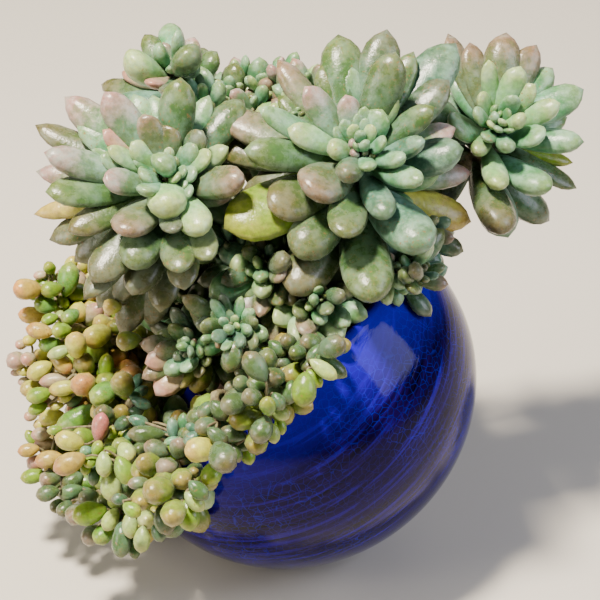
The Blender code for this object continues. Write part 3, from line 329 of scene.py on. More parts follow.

# Leaves of the rosettes and middle heads that were placed one by one: the pixel of the leaf's tip in the
# 600-pixel photograph, its length and breadth in millimetres, and its tone. A length below zero marks
# a leaf whose tip points away from the camera.
Placed = namedtuple("Placed", "x y length breadth tone")
# Rows with the tone lit carry painted light, and rows with the tone shade carry painted shade.
PLACED = {
    "rosette_left": (
        (177, 86, 34, 15, "green"), (167, 130, 20, 12, "olive"), (111, 98, 36, 14, "pink"),
        (71, 104, -42, 14, "pink"), (43, 131, -46, 12, "olive"), (53, 158, 44, 13, "pink"),
        (45, 171, -44, 11, "pink"), (54, 192, 46, 15, "green"), (43, 213, -44, 9, "yellow"),
        (74, 227, 42, 13, "olive"), (58, 237, -44, 14, "shade"), (123, 233, 36, 17, "tan"),
        (127, 260, 42, 17, "green"), (182, 268, 44, 15, "sage"), (205, 256, 42, 13, "sage"),
        (197, 228, 34, 14, "lit"), (100, 278, 46, 17, "shade"), (90, 290, 46, 12, "shade"),
        (134, 290, 46, 16, "shade"), (156, 304, 46, 14, "shade"), (128, 328, -52, 16, "olive"),
        (184, 281, 44, 14, "shade"), (121, 296, -46, 13, "shade"), (239, 107, -40, 15, "green"),
        (207, 103, -36, 10, "mint"), (197, 136, 26, 11, "grey"), (150, 102, -34, 11, "mint"),
        (145, 120, 26, 12, "tan"), (109, 135, 30, 9, "rose"), (98, 147, -30, 9, "mint"),
        (113, 149, 26, 8, "lit"), (135, 145, 18, 9, "lit"), (106, 159, 30, 10, "mint"),
        (79, 165, -34, 10, "pink"), (107, 179, 30, 12, "pink"), (161, 162, 15, 11, "mint"),
        (167, 205, 24, 16, "lit"), (187, 192, 16, 8, "mint"), (192, 172, 15, 8, "mint"),
        (195, 148, 20, 9, "mint"), (205, 152, 24, 9, "lit"), (238, 179, 38, 14, "tan"),
        (223, 150, 28, 9, "lit"), (250, 203, -40, 13, "mint"), (243, 165, -34, 9, "green"),
        (232, 224, -40, 11, "grey"), (175, 226, 30, 11, "grey"), (145, 176, 16, 9, "mint"),
        (147, 190, 22, 10, "mint"), (178, 148, 14, 7, "mint"), (152, 150, 14, 7, "mint"),
        (84, 130, -40, 11, "mint"), (222, 240, -44, 15, "shade"), (140, 100, -36, 12, "mint"),
        (143, 168, 12, 5, "mint"), (137, 160, 13, 5, "mint"), (155, 157, 11, 5, "mint"),
        (164, 156, 10, 5, "mint"), (175, 161, 10, 5, "green"), (184, 171, 12, 6, "mint"),
        (184, 186, 12, 6, "mint"), (176, 177, 12, 6, "lit"), (168, 150, 12, 5, "lit"),
        (198, 276, -46, 15, "shade"), (150, 318, -50, 15, "shade"), (108, 304, -48, 14, "shade"),
        (170, 296, -48, 15, "shade"), (78, 252, -46, 14, "shade"), (212, 262, -44, 14, "shade"),
    ),
    "rosette_middle": (
        (341, 41, -42, 19, "green"), (384, 38, -46, 17, "grey"), (396, 62, 40, 16, "sage"),
        (410, 60, -38, 12, "green"), (452, 51, -50, 20, "blue"), (456, 150, 44, 16, "blue"),
        (427, 110, 34, 11, "green"), (449, 131, -40, 12, "pink"), (463, 174, -48, 12, "pink"),
        (419, 142, 32, 9, "blue"), (379, 113, 20, 12, "mint"), (400, 158, 25, 8, "mint"),
        (418, 179, 36, 10, "mint"), (386, 213, 34, 12, "blue"), (424, 243, 52, 20, "blue"),
        (462, 219, -50, 16, "yellow"), (448, 245, -52, 14, "blue"), (344, 231, 42, 16, "sage"),
        (372, 294, 60, 21, "green"), (391, 271, -54, 10, "olive"), (298, 247, 46, 20, "sage"),
        (296, 288, 56, 21, "olive"), (310, 190, 32, 20, "tan"), (270, 207, 44, 20, "olive"),
        (236, 225, 50, 25, "lime"), (252, 150, 38, 14, "green"), (228, 122, -46, 17, "tan"),
        (225, 144, -46, 14, "olive"), (267, 112, 38, 10, "mint"), (293, 130, 28, 11, "lit"),
        (279, 71, -40, 12, "tan"), (310, 92, 28, 12, "pink"), (346, 101, 20, 10, "pink"),
        (347, 75, -32, 10, "mint"), (389, 98, 28, 9, "lit"), (334, 146, 16, 9, "lit"),
        (348, 172, 22, 11, "grey"), (368, 166, 18, 8, "mint"), (382, 141, 16, 7, "mint"),
        (346, 122, 13, 7, "mint"), (366, 112, 14, 6, "mint"), (329, 71, -38, 12, "sage"),
        (440, 85, -46, 16, "grey"), (285, 100, -38, 11, "green"), (330, 262, -54, 16, "shade"),
        (437, 205, -46, 14, "grey"), (262, 175, -42, 15, "shade"), (400, 250, -54, 15, "shade"),
        (349, 119, 11, 5, "lime"), (357, 117, 10, 5, "mint"), (352, 128, 12, 6, "lit"),
        (361, 134, 10, 5, "mint"), (365, 143, 11, 5, "mint"), (356, 145, 9, 4, "mint"),
        (372, 128, 14, 6, "lit"), (338, 130, 15, 6, "mint"), (365, 122, 12, 5, "mint"),
        (312, 272, -54, 14, "shade"), (352, 278, -56, 13, "shade"), (280, 232, -48, 14, "shade"),
        (414, 262, -54, 13, "shade"), (250, 190, -44, 13, "shade"),
    ),
    "rosette_right": (
        (508, 41, -36, 16, "tan"), (547, 72, -38, 13, "mint"), (520, 73, 26, 11, "lit"),
        (575, 91, -38, 14, "mint"), (554, 105, 30, 10, "lit"), (577, 141, 38, 11, "mint"),
        (566, 162, -36, 7, "lime"), (570, 185, -40, 10, "sage"), (545, 186, 40, 14, "mint"),
        (541, 134, 26, 12, "mint"), (543, 215, -44, 15, "grey"), (503, 226, 48, 17, "olive"),
        (500, 184, 30, 11, "lit"), (477, 150, 18, 8, "lit"), (455, 124, 26, 14, "mint"),
        (441, 110, -32, 11, "tan"), (458, 75, -30, 10, "mint"), (450, 41, -42, 11, "tan"),
        (472, 50, -36, 12, "tan"), (490, 66, 24, 8, "lit"), (452, 180, -42, 14, "shade"),
        (442, 206, -48, 15, "shade"), (484, 96, 18, 8, "lit"), (513, 98, 17, 8, "mint"),
        (520, 118, 17, 8, "lit"), (509, 146, 18, 8, "mint"), (488, 138, 15, 7, "mint"),
        (478, 112, 18, 8, "mint"), (530, 50, -40, 13, "tan"), (478, 196, -42, 12, "sage"),
        (560, 120, -36, 11, "mint"), (525, 200, -44, 12, "shade"), (530, 88, 24, 9, "lit"),
        (496, 116, 10, 5, "mint"), (503, 122, 10, 5, "lit"), (508, 113, 10, 5, "mint"),
        (499, 128, 11, 5, "mint"), (492, 124, 11, 5, "lit"), (511, 128, 12, 5, "mint"),
        (488, 212, -44, 12, "shade"), (518, 216, -44, 11, "shade"),
    ),
    "rosette_back": (
        (133, 58, 30, 15, "lit"), (187, 52, 26, 14, "green"), (168, 28, -32, 12, "mint"),
        (178, 38, 26, 10, "mint"), (127, 73, -30, 8, "rose"), (107, 86, -38, 12, "olive"),
        (152, 82, 24, 9, "rose"), (210, 76, -30, 12, "grey"), (160, 48, 16, 8, "mint"),
        (176, 64, 14, 8, "mint"), (165, 90, 26, 9, "grey"), (200, 95, -32, 10, "sage"),
        (202, 52, -30, 11, "sage"), (150, 38, -28, 10, "sage"),
    ),
    "under_right": (
        (430, 245, 22, 7, "lit"), (416, 270, 20, 8, "olive"), (406, 276, 20, 8, "green"),
        (398, 283, 16, 7, "mint"), (387, 300, 20, 8, "lit"), (396, 262, -22, 8, "olive"),
        (440, 232, -24, 9, "sage"), (424, 258, -20, 8, "sage"), (412, 288, 18, 8, "sage"),
    ),
    "crown_left": (
        (209, 86, 18, 10, "tan"), (222, 75, -20, 9, "mint"), (238, 68, 20, 11, "sage"),
        (246, 88, 16, 8, "lit"), (222, 101, 16, 8, "lit"), (232, 109, 18, 9, "olive"),
        (212, 100, -18, 9, "pink"), (228, 88, 12, 6, "mint"), (236, 98, 13, 7, "mint"),
        (218, 92, 12, 6, "lit"), (243, 104, 18, 8, "sage"), (205, 112, -22, 10, "olive"),
    ),
    "crown_middle": (
        (259, 62, 20, 10, "mint"), (268, 82, 14, 8, "tan"), (276, 72, -20, 9, "lit"),
        (252, 78, 14, 7, "lit"), (266, 95, 16, 8, "lit"), (254, 98, 18, 9, "sage"),
        (272, 102, 20, 9, "pink"), (286, 64, -20, 9, "tan"), (262, 76, 10, 5, "mint"),
        (284, 88, 18, 9, "mint"), (248, 70, -18, 9, "mint"), (262, 110, 24, 10, "olive"),
    ),
    "middle_top": (
        (234, 268, 15, 10, "lit"), (260, 279, 13, 7, "mint"), (244, 297, 17, 11, "lit"),
        (214, 293, 24, 13, "mint"), (262, 294, 18, 9, "lit"), (245, 311, 24, 14, "pink"),
        (283, 264, 22, 10, "shade"), (282, 274, 20, 9, "tan"), (291, 302, 24, 8, "olive"),
        (222, 252, -20, 11, "blue"), (246, 250, 14, 7, "sage"), (256, 262, 10, 6, "lit"),
        (258, 314, 26, 9, "tan"), (268, 322, 26, 8, "sage"), (276, 345, 30, 9, "tan"),
        (225, 282, 18, 9, "grey"), (248, 272, 10, 6, "mint"), (272, 250, -18, 9, "shade"),
        (228, 305, -26, 11, "shade"), (203, 280, -26, 11, "grey"), (282, 303, 22, 10, "sage"),
    ),
    "middle_right": (
        (341, 296, 20, 7, "grey"), (363, 315, 26, 10, "mint"), (298, 340, 26, 11, "lit"),
        (337, 337, 26, 12, "lit"), (314, 300, 11, 5, "mint"), (328, 311, 14, 7, "sage"),
        (305, 332, 24, 10, "tan"), (318, 289, 10, 5, "mint"), (308, 308, 10, 4, "lit"),
        (350, 302, -24, 9, "mint"), (346, 326, 24, 9, "mint"), (298, 316, 18, 8, "sage"),
        (322, 348, -28, 10, "shade"), (356, 332, -28, 9, "shade"), (320, 322, 16, 7, "mint"),
        (334, 286, -20, 8, "shade"), (278, 322, 24, 11, "lit"), (268, 312, 20, 9, "mint"),
        (372, 300, -26, 8, "grey"),
    ),
    "middle_low": (
        (213, 302, 13, 5, "mint"), (222, 297, 14, 5, "grey"), (241, 300, 13, 5, "mint"),
        (251, 312, 14, 6, "mint"), (248, 331, 15, 6, "mint"), (240, 344, 18, 6, "blue"),
        (228, 349, 18, 6, "mint"), (227, 330, 11, 5, "mint"), (215, 338, 16, 6, "blue"),
        (204, 337, 17, 5, "mint"), (199, 322, 17, 7, "grey"), (262, 335, 18, 8, "mint"),
        (186, 299, 24, 8, "olive"), (203, 327, 18, 8, "sage"), (235, 318, 9, 4, "lit"),
        (229, 312, 9, 4, "mint"), (238, 326, 10, 4, "lit"), (222, 320, 10, 4, "mint"),
        (214, 313, 12, 5, "mint"), (256, 322, 17, 7, "sage"), (232, 356, -22, 9, "shade"),
        (255, 346, 20, 9, "sage"), (194, 311, 20, 8, "olive"), (210, 352, -20, 8, "shade"),
    ),
    "middle_left": (
        (161, 336, 17, 8, "sage"), (167, 372, 17, 9, "mint"), (180, 347, 10, 5, "mint"),
        (190, 353, 13, 6, "blue"), (187, 368, 15, 9, "mint"), (204, 341, 15, 5, "mint"),
        (172, 326, 14, 8, "sage"), (186, 330, 13, 5, "grey"), (150, 362, 19, 10, "rose"),
        (160, 391, 20, 12, "rose"), (195, 388, 20, 11, "bead"), (178, 384, 18, 9, "bead"),
        (175, 358, 10, 5, "grey"), (184, 340, 9, 4, "mint"), (193, 345, 9, 4, "mint"),
        (201, 353, 13, 6, "mint"), (206, 363, 15, 6, "sage"), (157, 351, 15, 8, "tan"),
        (145, 346, 18, 9, "tan"), (173, 312, 18, 8, "grey"), (199, 374, 16, 7, "olive"),
        (148, 376, 20, 9, "tan"), (153, 326, -20, 8, "shade"),
    ),
}

# Bead leaves in view that were placed one by one: the pixel of the middle in the 600-pixel photograph,
# breadth and seen length in millimetres, the way of the tip in the picture (degrees, 90 is up), tone,
# and how far back the bead stands (0 in front, 2 furthest).
Bead = namedtuple("Bead", "x y breadth seen turn tone layer")
BEADS = (
    (28, 289, 9.3, 11.5, 180, "orange", 0), (40, 291, 6.0, 7.0, 200, "rose", 1),
    (52, 289, 7.1, 9.0, 190, "lime", 0), (51, 277, 4.5, 7.0, 180, "cream", 1),
    (41, 275, 4.0, 6.0, 190, "rose", 1), (50, 269, 5.3, 6.0, 110, "lime", 1),
    (68, 280, 9.3, 14.0, 80, "bright", 0), (70, 265, 5.5, 8.0, 60, "yellow", 1),
    (78, 292, 8.4, 10.0, 200, "lime", 0), (90, 294, 6.0, 7.0, 250, "yellow", 0),
    (46, 305, 7.5, 9.5, 170, "bright", 0), (64, 302, 5.5, 6.0, 150, "lime", 0),
    (73, 305, 4.5, 5.5, 60, "cream", 1), (33, 315, 7.5, 11.5, 175, "orange", 0),
    (50, 319, 5.3, 7.0, 200, "lime", 0), (60, 315, 4.2, 4.8, 270, "cream", 0),
    (71, 316, 6.6, 8.0, 220, "bright", 0), (40, 331, 7.0, 11.0, 170, "orange", 0),
    (62, 330, 6.6, 8.0, 190, "lime", 0), (50, 344, 6.6, 9.0, 190, "bright", 0),
    (30, 340, 5.0, 6.0, 200, "yellow", 1), (22, 344, 4.5, 5.5, 200, "rose", 1),
    (18, 360, 8.0, 9.0, 190, "rose", 0), (29, 358, 6.0, 6.5, 200, "rose", 0),
    (18, 372, 3.5, 6.0, 190, "rose", 1), (44, 354, 5.3, 7.5, 190, "yellow", 1),
    (40, 370, 8.0, 11.0, 210, "yellow", 0), (60, 352, 5.5, 10.0, 200, "cream", 0),
    (62, 363, 7.0, 10.0, 315, "orange", 0), (76, 346, 9.0, 11.0, 90, "yellow", 0),
    (84, 366, 9.3, 10.0, 100, "bead", 0), (83, 383, 10.6, 10.6, 270, "orange", 0),
    (98, 335, 10.0, 12.0, 210, "yellow", 0), (104, 323, 8.0, 8.5, 180, "yellow", 0),
    (93, 320, 3.5, 5.5, 90, "cream", 1), (92, 306, 6.0, 7.0, 190, "yellow", 0),
    (100, 304, 6.0, 7.5, 150, "yellow", 0), (114, 306, 6.6, 7.5, 190, "yellow", 0),
    (120, 327, 6.6, 10.0, 170, "bead", 0), (130, 340, 8.0, 9.7, 190, "bead", 1),
    (98, 295, 4.0, 5.0, 120, "cream", 1), (84, 310, 4.5, 6.0, 190, "rose", 1),
    (88, 256, 3.8, 4.8, 100, "lime", 1), (93, 263, 4.0, 5.0, 60, "lime", 1),
    (84, 262, 3.8, 4.8, 150, "lime", 1), (98, 261, 4.0, 5.0, 80, "yellow", 1),
    (97, 252, 3.8, 4.8, 70, "lime", 1), (92, 276, 4.5, 6.5, 160, "yellow", 1),
    (106, 368, 6.6, 11.0, 85, "lime", 1), (55, 380, 6.2, 12.0, 190, "rose", 0),
    (65, 388, 6.6, 12.5, 190, "yellow", 0), (72, 373, 4.5, 5.5, 180, "yellow", 1),
    (53, 371, 4.0, 5.5, 190, "rose", 1), (32, 388, 7.5, 9.5, 195, "yellow", 0),
    (39, 395, 7.0, 10.0, 195, "lime", 0), (24, 381, 3.8, 5.0, 200, "rose", 1),
    (104, 393, 10.0, 12.0, 220, "bright", 0), (123, 386, 9.7, 11.0, 100, "bead", 0),
    (136, 383, 4.5, 8.0, 60, "blue", 1), (140, 392, 4.5, 7.0, 30, "blue", 1),
    (134, 396, 4.0, 6.0, 350, "mint", 1), (141, 403, 4.5, 8.0, 340, "blue", 1),
    (136, 411, 4.0, 6.0, 0, "grey", 1), (138, 421, 5.0, 8.0, 340, "blue", 1),
    (50, 400, 6.0, 7.0, 190, "rose", 1), (65, 398, 4.0, 6.0, 190, "yellow", 1),
    (74, 400, 5.5, 7.0, 200, "sage", 1), (38, 408, 5.5, 8.0, 200, "lime", 1),
    (31, 416, 4.5, 5.5, 190, "rose", 1), (52, 417, 7.5, 10.5, 195, "yellow", 0),
    (57, 406, 3.5, 6.0, 190, "yellow", 1), (78, 418, 9.7, 19.0, 210, "bright", 0),
    (106, 415, 8.0, 9.0, 150, "olive", 1), (100, 428, 7.0, 11.5, 80, "blush", 0),
    (122, 424, 6.0, 7.5, 30, "grey", 0), (85, 437, 8.0, 10.0, 165, "lime", 0),
    (70, 441, 8.0, 11.5, 165, "yellow", 0), (42, 424, 5.0, 7.0, 190, "yellow", 1),
    (42, 434, 6.0, 8.5, 190, "rose", 0), (45, 444, 6.4, 9.0, 190, "rose", 0),
    (55, 430, 4.0, 6.0, 190, "lime", 1), (29, 450, 6.0, 8.8, 190, "orange", 0),
    (31, 438, 4.4, 7.0, 120, "lime", 1), (37, 462, 8.0, 8.2, 200, "rose", 1),
    (49, 459, 7.5, 11.0, 195, "orange", 0), (70, 463, 8.8, 13.0, 205, "orange", 0),
    (34, 476, 6.6, 10.6, 190, "lime", 0), (51, 478, 8.0, 9.0, 200, "tan", 1),
    (72, 480, 7.5, 10.0, 210, "olive", 1), (48, 493, 7.0, 9.5, 195, "olive", 1),
    (71, 492, 7.0, 10.0, 200, "sage", 1), (58, 505, 5.8, 7.0, 215, "olive", 2),
    (65, 508, 6.0, 7.5, 230, "olive", 1), (77, 513, 9.0, 9.5, 220, "tan", 1),
    (90, 513, 9.7, 13.5, 195, "lime", 0), (89, 497, 7.0, 8.5, 200, "olive", 1),
    (92, 534, 8.0, 9.0, 240, "tan", 2), (104, 533, 8.0, 9.7, 230, "bright", 0),
    (111, 519, 6.6, 9.7, 240, "cream", 0), (107, 503, 6.6, 7.5, 140, "sage", 0),
    (111, 485, 8.4, 12.4, 275, "cream", 0), (104, 464, 6.6, 9.7, 275, "cream", 0),
    (97, 449, 4.8, 6.6, 70, "lime", 0), (91, 461, 4.8, 6.0, 220, "lime", 0),
    (87, 451, 4.4, 5.3, 180, "mint", 1), (86, 467, 4.4, 6.0, 260, "lime", 1),
    (94, 475, 4.8, 8.0, 265, "grey", 1), (110, 452, 6.2, 6.5, 230, "lime", 0),
    (126, 452, 7.5, 9.0, 300, "cream", 0), (124, 470, 7.5, 11.5, 295, "lime", 0),
    (139, 449, 6.6, 6.6, 0, "green", 1), (128, 436, 5.0, 6.0, 30, "mint", 1),
    (112, 433, 4.8, 5.8, 60, "lime", 1), (144, 467, 9.3, 11.0, 260, "bead", 0),
    (120, 499, 4.6, 6.0, 180, "grey", 1), (121, 510, 4.4, 4.8, 200, "grey", 1),
    (132, 509, 5.8, 7.5, 330, "lime", 0), (130, 525, 6.2, 9.7, 275, "cream", 0),
    (146, 518, 7.5, 8.0, 290, "cream", 0), (142, 539, 6.6, 10.0, 265, "cream", 0),
    (121, 541, 7.5, 12.4, 270, "sage", 1), (134, 547, 5.0, 9.0, 275, "sage", 1),
    (121, 529, 5.0, 6.0, 260, "grey", 1), (120, 519, 4.0, 4.5, 250, "grey", 1),
    (143, 498, 9.3, 10.0, 240, "bead", 0), (139, 483, 5.0, 8.0, 190, "tan", 1),
    (127, 488, 6.0, 8.0, 270, "olive", 2), (157, 450, 7.5, 10.0, 160, "tan", 0),
    (147, 434, 7.0, 14.0, 180, "olive", 1), (178, 449, 7.0, 8.5, 80, "tan", 0),
    (168, 467, 8.8, 9.0, 200, "tan", 0), (182, 477, 8.4, 8.8, 290, "bead", 0),
    (160, 489, 11.0, 12.4, 200, "bead", 0), (174, 511, 9.7, 10.6, 250, "bead", 0),
    (188, 515, 8.4, 11.5, 280, "lime", 0), (177, 494, 5.5, 6.2, 200, "sage", 1),
    (194, 501, 6.0, 9.3, 315, "cream", 0), (198, 490, 6.2, 9.0, 315, "sage", 0),
    (188, 490, 4.4, 4.6, 0, "sage", 1), (164, 520, 8.0, 11.0, 290, "olive", 1),
    (158, 533, 5.0, 7.0, 300, "sage", 2), (202, 449, 10.0, 12.4, 190, "yellow", 0),
    (222, 456, 10.6, 12.4, 300, "olive", 0), (212, 473, 8.0, 10.0, 250, "lime", 0),
    (195, 471, 7.0, 8.0, 240, "olive", 2), (217, 436, 6.0, 9.0, 320, "olive", 0),
    (207, 426, 7.5, 9.3, 200, "olive", 1), (194, 438, 5.5, 8.0, 200, "blue", 1),
    (219, 410, 6.0, 8.8, 310, "olive", 1), (207, 410, 6.0, 8.0, 230, "olive", 2),
    (222, 424, 4.0, 5.5, 320, "blue", 1), (186, 459, 4.5, 5.5, 190, "tan", 2),
    (173, 430, 4.8, 9.0, 95, "blue", 1), (183, 424, 4.4, 8.0, 85, "mint", 1),
    (183, 435, 4.0, 5.3, 80, "sage", 0), (193, 428, 3.5, 5.5, 150, "blue", 1),
    (160, 431, 3.5, 8.0, 315, "blue", 1), (172, 441, 3.5, 6.0, 200, "mint", 0),
    (246, 417, 9.7, 12.4, 195, "bead", 0), (236, 427, 6.0, 9.0, 190, "tan", 1),
    (233, 434, 6.6, 9.7, 170, "olive", 0), (235, 403, 8.4, 10.6, 200, "olive", 0),
    (262, 429, 8.4, 10.6, 250, "olive", 0), (257, 440, 9.0, 10.0, 260, "bead", 1),
    (268, 407, 6.2, 7.5, 100, "lime", 0), (253, 397, 7.0, 8.0, 170, "olive", 0),
    (243, 384, 6.2, 7.5, 150, "sage", 0), (259, 385, 6.2, 8.8, 170, "sage", 0),
    (233, 388, 5.3, 6.2, 170, "olive", 1), (244, 374, 4.0, 7.0, 170, "olive", 2),
    (256, 367, 8.4, 12.4, 125, "olive", 0), (269, 360, 8.4, 8.8, 120, "sage", 0),
    (275, 376, 8.4, 8.8, 200, "olive", 0), (274, 391, 5.3, 7.0, 200, "olive", 1),
    (296, 372, 8.4, 10.6, 205, "bead", 0), (304, 389, 9.3, 12.4, 265, "lime", 0),
    (290, 392, 6.2, 8.8, 260, "sage", 1), (278, 401, 5.3, 7.0, 300, "sage", 0),
    (280, 413, 5.3, 7.0, 330, "cream", 0), (280, 425, 4.4, 7.0, 285, "lime", 1),
    (273, 433, 5.0, 7.5, 280, "cream", 1), (240, 443, 5.0, 8.0, 330, "sage", 1),
    (247, 454, 5.5, 8.0, 290, "lime", 1), (236, 453, 4.4, 7.0, 290, "olive", 1),
    (312, 343, 7.5, 9.3, 180, "olive", 0), (298, 352, 6.0, 7.0, 190, "sage", 0),
    (290, 343, 6.2, 7.0, 150, "olive", 1), (315, 354, 5.5, 8.0, 240, "sage", 1),
    (308, 364, 6.0, 6.6, 300, "olive", 1), (331, 347, 8.8, 11.0, 20, "olive", 0),
    (331, 366, 6.6, 13.0, 325, "sage", 1), (323, 369, 5.8, 11.5, 325, "cream", 0),
    (314, 378, 5.0, 8.0, 310, "lime", 0), (277, 348, 5.3, 8.0, 320, "sage", 1),
    (286, 363, 6.0, 7.0, 200, "grey", 2), (253, 353, 6.0, 8.0, 180, "olive", 2),
    (232, 356, 8.0, 11.0, 260, "olive", 1),
)
BEAD_LENGTH = 1.3  # times its breadth
BEAD_SWELL = 1.12  # a bead against its breadth in view, as its edges lie behind its neighbours
BEAD_THICK = 0.94  # against its breadth
BEAD_CURL = 0.02
BEAD_BALL = 0.46  # radius of its balls against its breadth
BEAD_STAND = 1.5 * MM  # between its foot and the nearest stem
BEAD_AXIS = np.array([-0.2, 0.0, 0.6])  # turns the beads' axis from the view
LAYER_DEPTH = 3.5 * MM
LAYER_RANK = 0.5  # of that depth, where beads that part are put in order
NEAR_WEIGHT = 0.35  # how much a stem counts as nearer because it is nearer to the camera
PART_ROUNDS = 60
PART_RATE = 0.25
PART_BACK = 0.02
TWIG_SAG = 0.3  # how far a twig bends away from the view, against its length
TWIG_SINK = 0.1  # how far it runs into its bead, against the bead's length
MARK_STEP = 2.0
MARK_REACH = 22  # millimetres of stem below its leaves that beads may also grow from

# Loose litter on the soil: colour, number of grains, width in millimetres, length and thickness
# against the width.
Litter = namedtuple("Litter", "colour count size long flat")
LITTER = (
    Litter("#c9c5b8", 130, (1.0, 2.2), 1.2, 0.9),
    Litter("#4a3320", 420, (1.4, 3.2), 1.9, 0.5),
    Litter("#9a7c46", 34, (3.0, 4.6), 2.0, 0.45),
)
LITTER_SIDES = 5
LITTER_RING = (0.894, 0.447)  # radius and height of a grain's two rings, against its ball's radius
LITTER_LEAN = 0.2
LITTER_CHANCE = (0.75, 1.2)
LITTER_LIGHT = (0.6, 1.25)

# Soil: sides and rings of its mesh, and the lengths of its waves in millimetres with their height
# against their length.
SOIL_SIDES = 96
SOIL_RINGS = 40
SOIL_WALL_RINGS = 10
SOIL_FIRST_RING = 0.02  # of the soil's radius
SOIL_WAVES = (40, 22, 13, 8, 5, 3.5)
WAVES_EACH = 3
WAVE_HEIGHT = 0.022
EDGE_FADE = 6.0 * MM
LITTER_EDGE = 4  # outermost rings without litter

LeafSet = namedtuple("LeafSet", "owner root way axis size width thick curl tone roll")


def unit(v):
    """The vector or rows of vectors v, each scaled to length one."""
    v = np.asarray(v, float)
    return v / np.maximum(np.linalg.norm(v, axis=-1, keepdims=True), 1e-12)


def linear(code):
    """Linear RGB of an sRGB hex colour."""
    parts = np.array([int(code[i : i + 2], 16) for i in (1, 3, 5)]) / 255
    return np.where(parts <= 0.04045, parts / 12.92, ((parts + 0.055) / 1.055) ** 2.4)


def rgba(code):
    """Linear RGBA of an sRGB hex colour, opaque."""
    return (*linear(code), 1.0)


def tone_numbers(names):
    """The place of each named tone in TONES."""
    order = list(TONES)
    return np.array([order.index(name) for name in names])


class PotSettings(bpy.types.PropertyGroup):
    """Glaze of the pot. The pot's own sizes are those of the solids."""

    glaze: FloatVectorProperty(
        name="Glaze", description="Cobalt of the glaze", default=rgba("#12003e"), size=4, subtype="COLOR"
    )
    clay: FloatVectorProperty(
        name="Clay", description="Bare clay of the foot", default=rgba("#a5643f"), size=4, subtype="COLOR"
    )
    crackle: FloatProperty(
        name="Crackle", description="Width of one crackle cell", default=0.0032, unit="LENGTH", precision=4
    )
    streak: FloatProperty(
        name="Streak", description="Width of one glaze streak", default=0.0024, unit="LENGTH", precision=4
    )


class SoilSettings(bpy.types.PropertyGroup):
    """Colours and crumb size of the potting mix."""

    dark: FloatVectorProperty(
        name="Dark crumbs", description="Damp peat", default=rgba("#1c130c"), size=4, subtype="COLOR"
    )
    pale: FloatVectorProperty(
        name="Pale crumbs", description="Bark and fibre", default=rgba("#5a4028"), size=4, subtype="COLOR"
    )
    crumb: FloatProperty(
        name="Crumb", description="Width of one crumb", default=0.0024, unit="LENGTH", precision=4
    )


class PlantSettings(bpy.types.PropertyGroup):
    """Sizes and colours of the plant."""

    seed: IntProperty(name="Seed", description="Seed of every random draw", default=SEED)
    twig: FloatProperty(
        name="Twig", description="Radius of a bead's twig", default=0.0008, unit="LENGTH", precision=4
    )
    powder: FloatVectorProperty(
        name="Powder", description="Colour of the bloom", default=rgba("#a8dccc"), size=4, subtype="COLOR"
    )
    powder_amount: FloatProperty(
        name="Powder amount",
        description="How much bloom the leaves wear",
        default=0.60,
        min=0,
        max=1,
        subtype="FACTOR",
    )


class StageSettings(bpy.types.PropertyGroup):
    """Floor and light."""

    floor: FloatVectorProperty(
        name="Floor", description="Colour of the floor", default=rgba("#c2bcb1"), size=4, subtype="COLOR"
    )
    key: FloatProperty(name="Key light", description="Power of the main light", default=70.0, unit="POWER")
    fill: FloatProperty(name="Fill light", description="Power of the fill light", default=2.0, unit="POWER")


def pot_frame():
    """Centre of the ball, its axis and two directions across it, with its flat spot on the origin."""
    flat = -math.sin(POT_LEAN)
    axis = np.array([flat * math.cos(POT_TURN), flat * math.sin(POT_TURN), math.cos(POT_LEAN)])
    reach = math.sqrt(POT_RADIUS**2 * (1 - axis[2] ** 2) + (POT_HALF_HEIGHT * axis[2]) ** 2)
    shift = (POT_RADIUS**2 - POT_HALF_HEIGHT**2) * axis[2] / reach
    centre = np.array([-shift * axis[0], -shift * axis[1], reach - FOOT_CUT])
    across = unit(np.cross([0, 1, 0], axis))
    return centre, axis, across, np.cross(axis, across)


CENTRE, AXIS, ACROSS, ALONG = pot_frame()


def round_axis(turn):
    """The way out from the pot's axis at each angle round it."""
    return np.cos(turn)[..., None] * ACROSS + np.sin(turn)[..., None] * ALONG


def ball_radius(height, inset=0.0):
    """Radius of the ball's wall at a height on its axis, with the wall moved in by inset."""
    share = np.clip(height / (POT_HALF_HEIGHT - inset), -1, 1)
    return (POT_RADIUS - inset) * np.sqrt(1 - share**2)


def wall_profile(inset, top, base_radius, count):
    """Points (radius, height) up the ball's wall from its flat base to the height top."""
    half = POT_HALF_HEIGHT - inset
    low = -half * math.sqrt(1 - (base_radius / (POT_RADIUS - inset)) ** 2)
    turn = np.linspace(math.asin(low / half), math.asin(top / half), count)
    return np.stack([ball_radius(half * np.sin(turn), inset), half * np.sin(turn)], -1)


def pot_profile(wall_points=40, lip_points=14, floor_points=6):
    """Outline of the pot from the middle of its base, up outside, over the lip and down inside."""
    outer = wall_profile(0.0, MOUTH_HEIGHT, BASE_RADIUS, wall_points)
    inner = wall_profile(POT_WALL, MOUTH_HEIGHT, BASE_RADIUS - POT_WALL, wall_points)
    middle = (outer[-1, 0] + inner[-1, 0]) / 2
    turn = np.linspace(0, math.pi, lip_points)
    height = MOUTH_HEIGHT + LIP_RADIUS * (LIP_LIFT + np.sin(turn))
    roll = np.stack([middle + LIP_RADIUS * np.cos(turn), height], -1)
    share = np.linspace(0, 1, floor_points, endpoint=False)[:, None]
    base = share * outer[0] + (1 - share) * [0.0, outer[0, 1]]
    floor = (1 - share) * inner[0] + share * [0.0, inner[0, 1]]
    return np.vstack([base, outer, roll, inner[:0:-1], floor, [[0.0, inner[0, 1]]]])


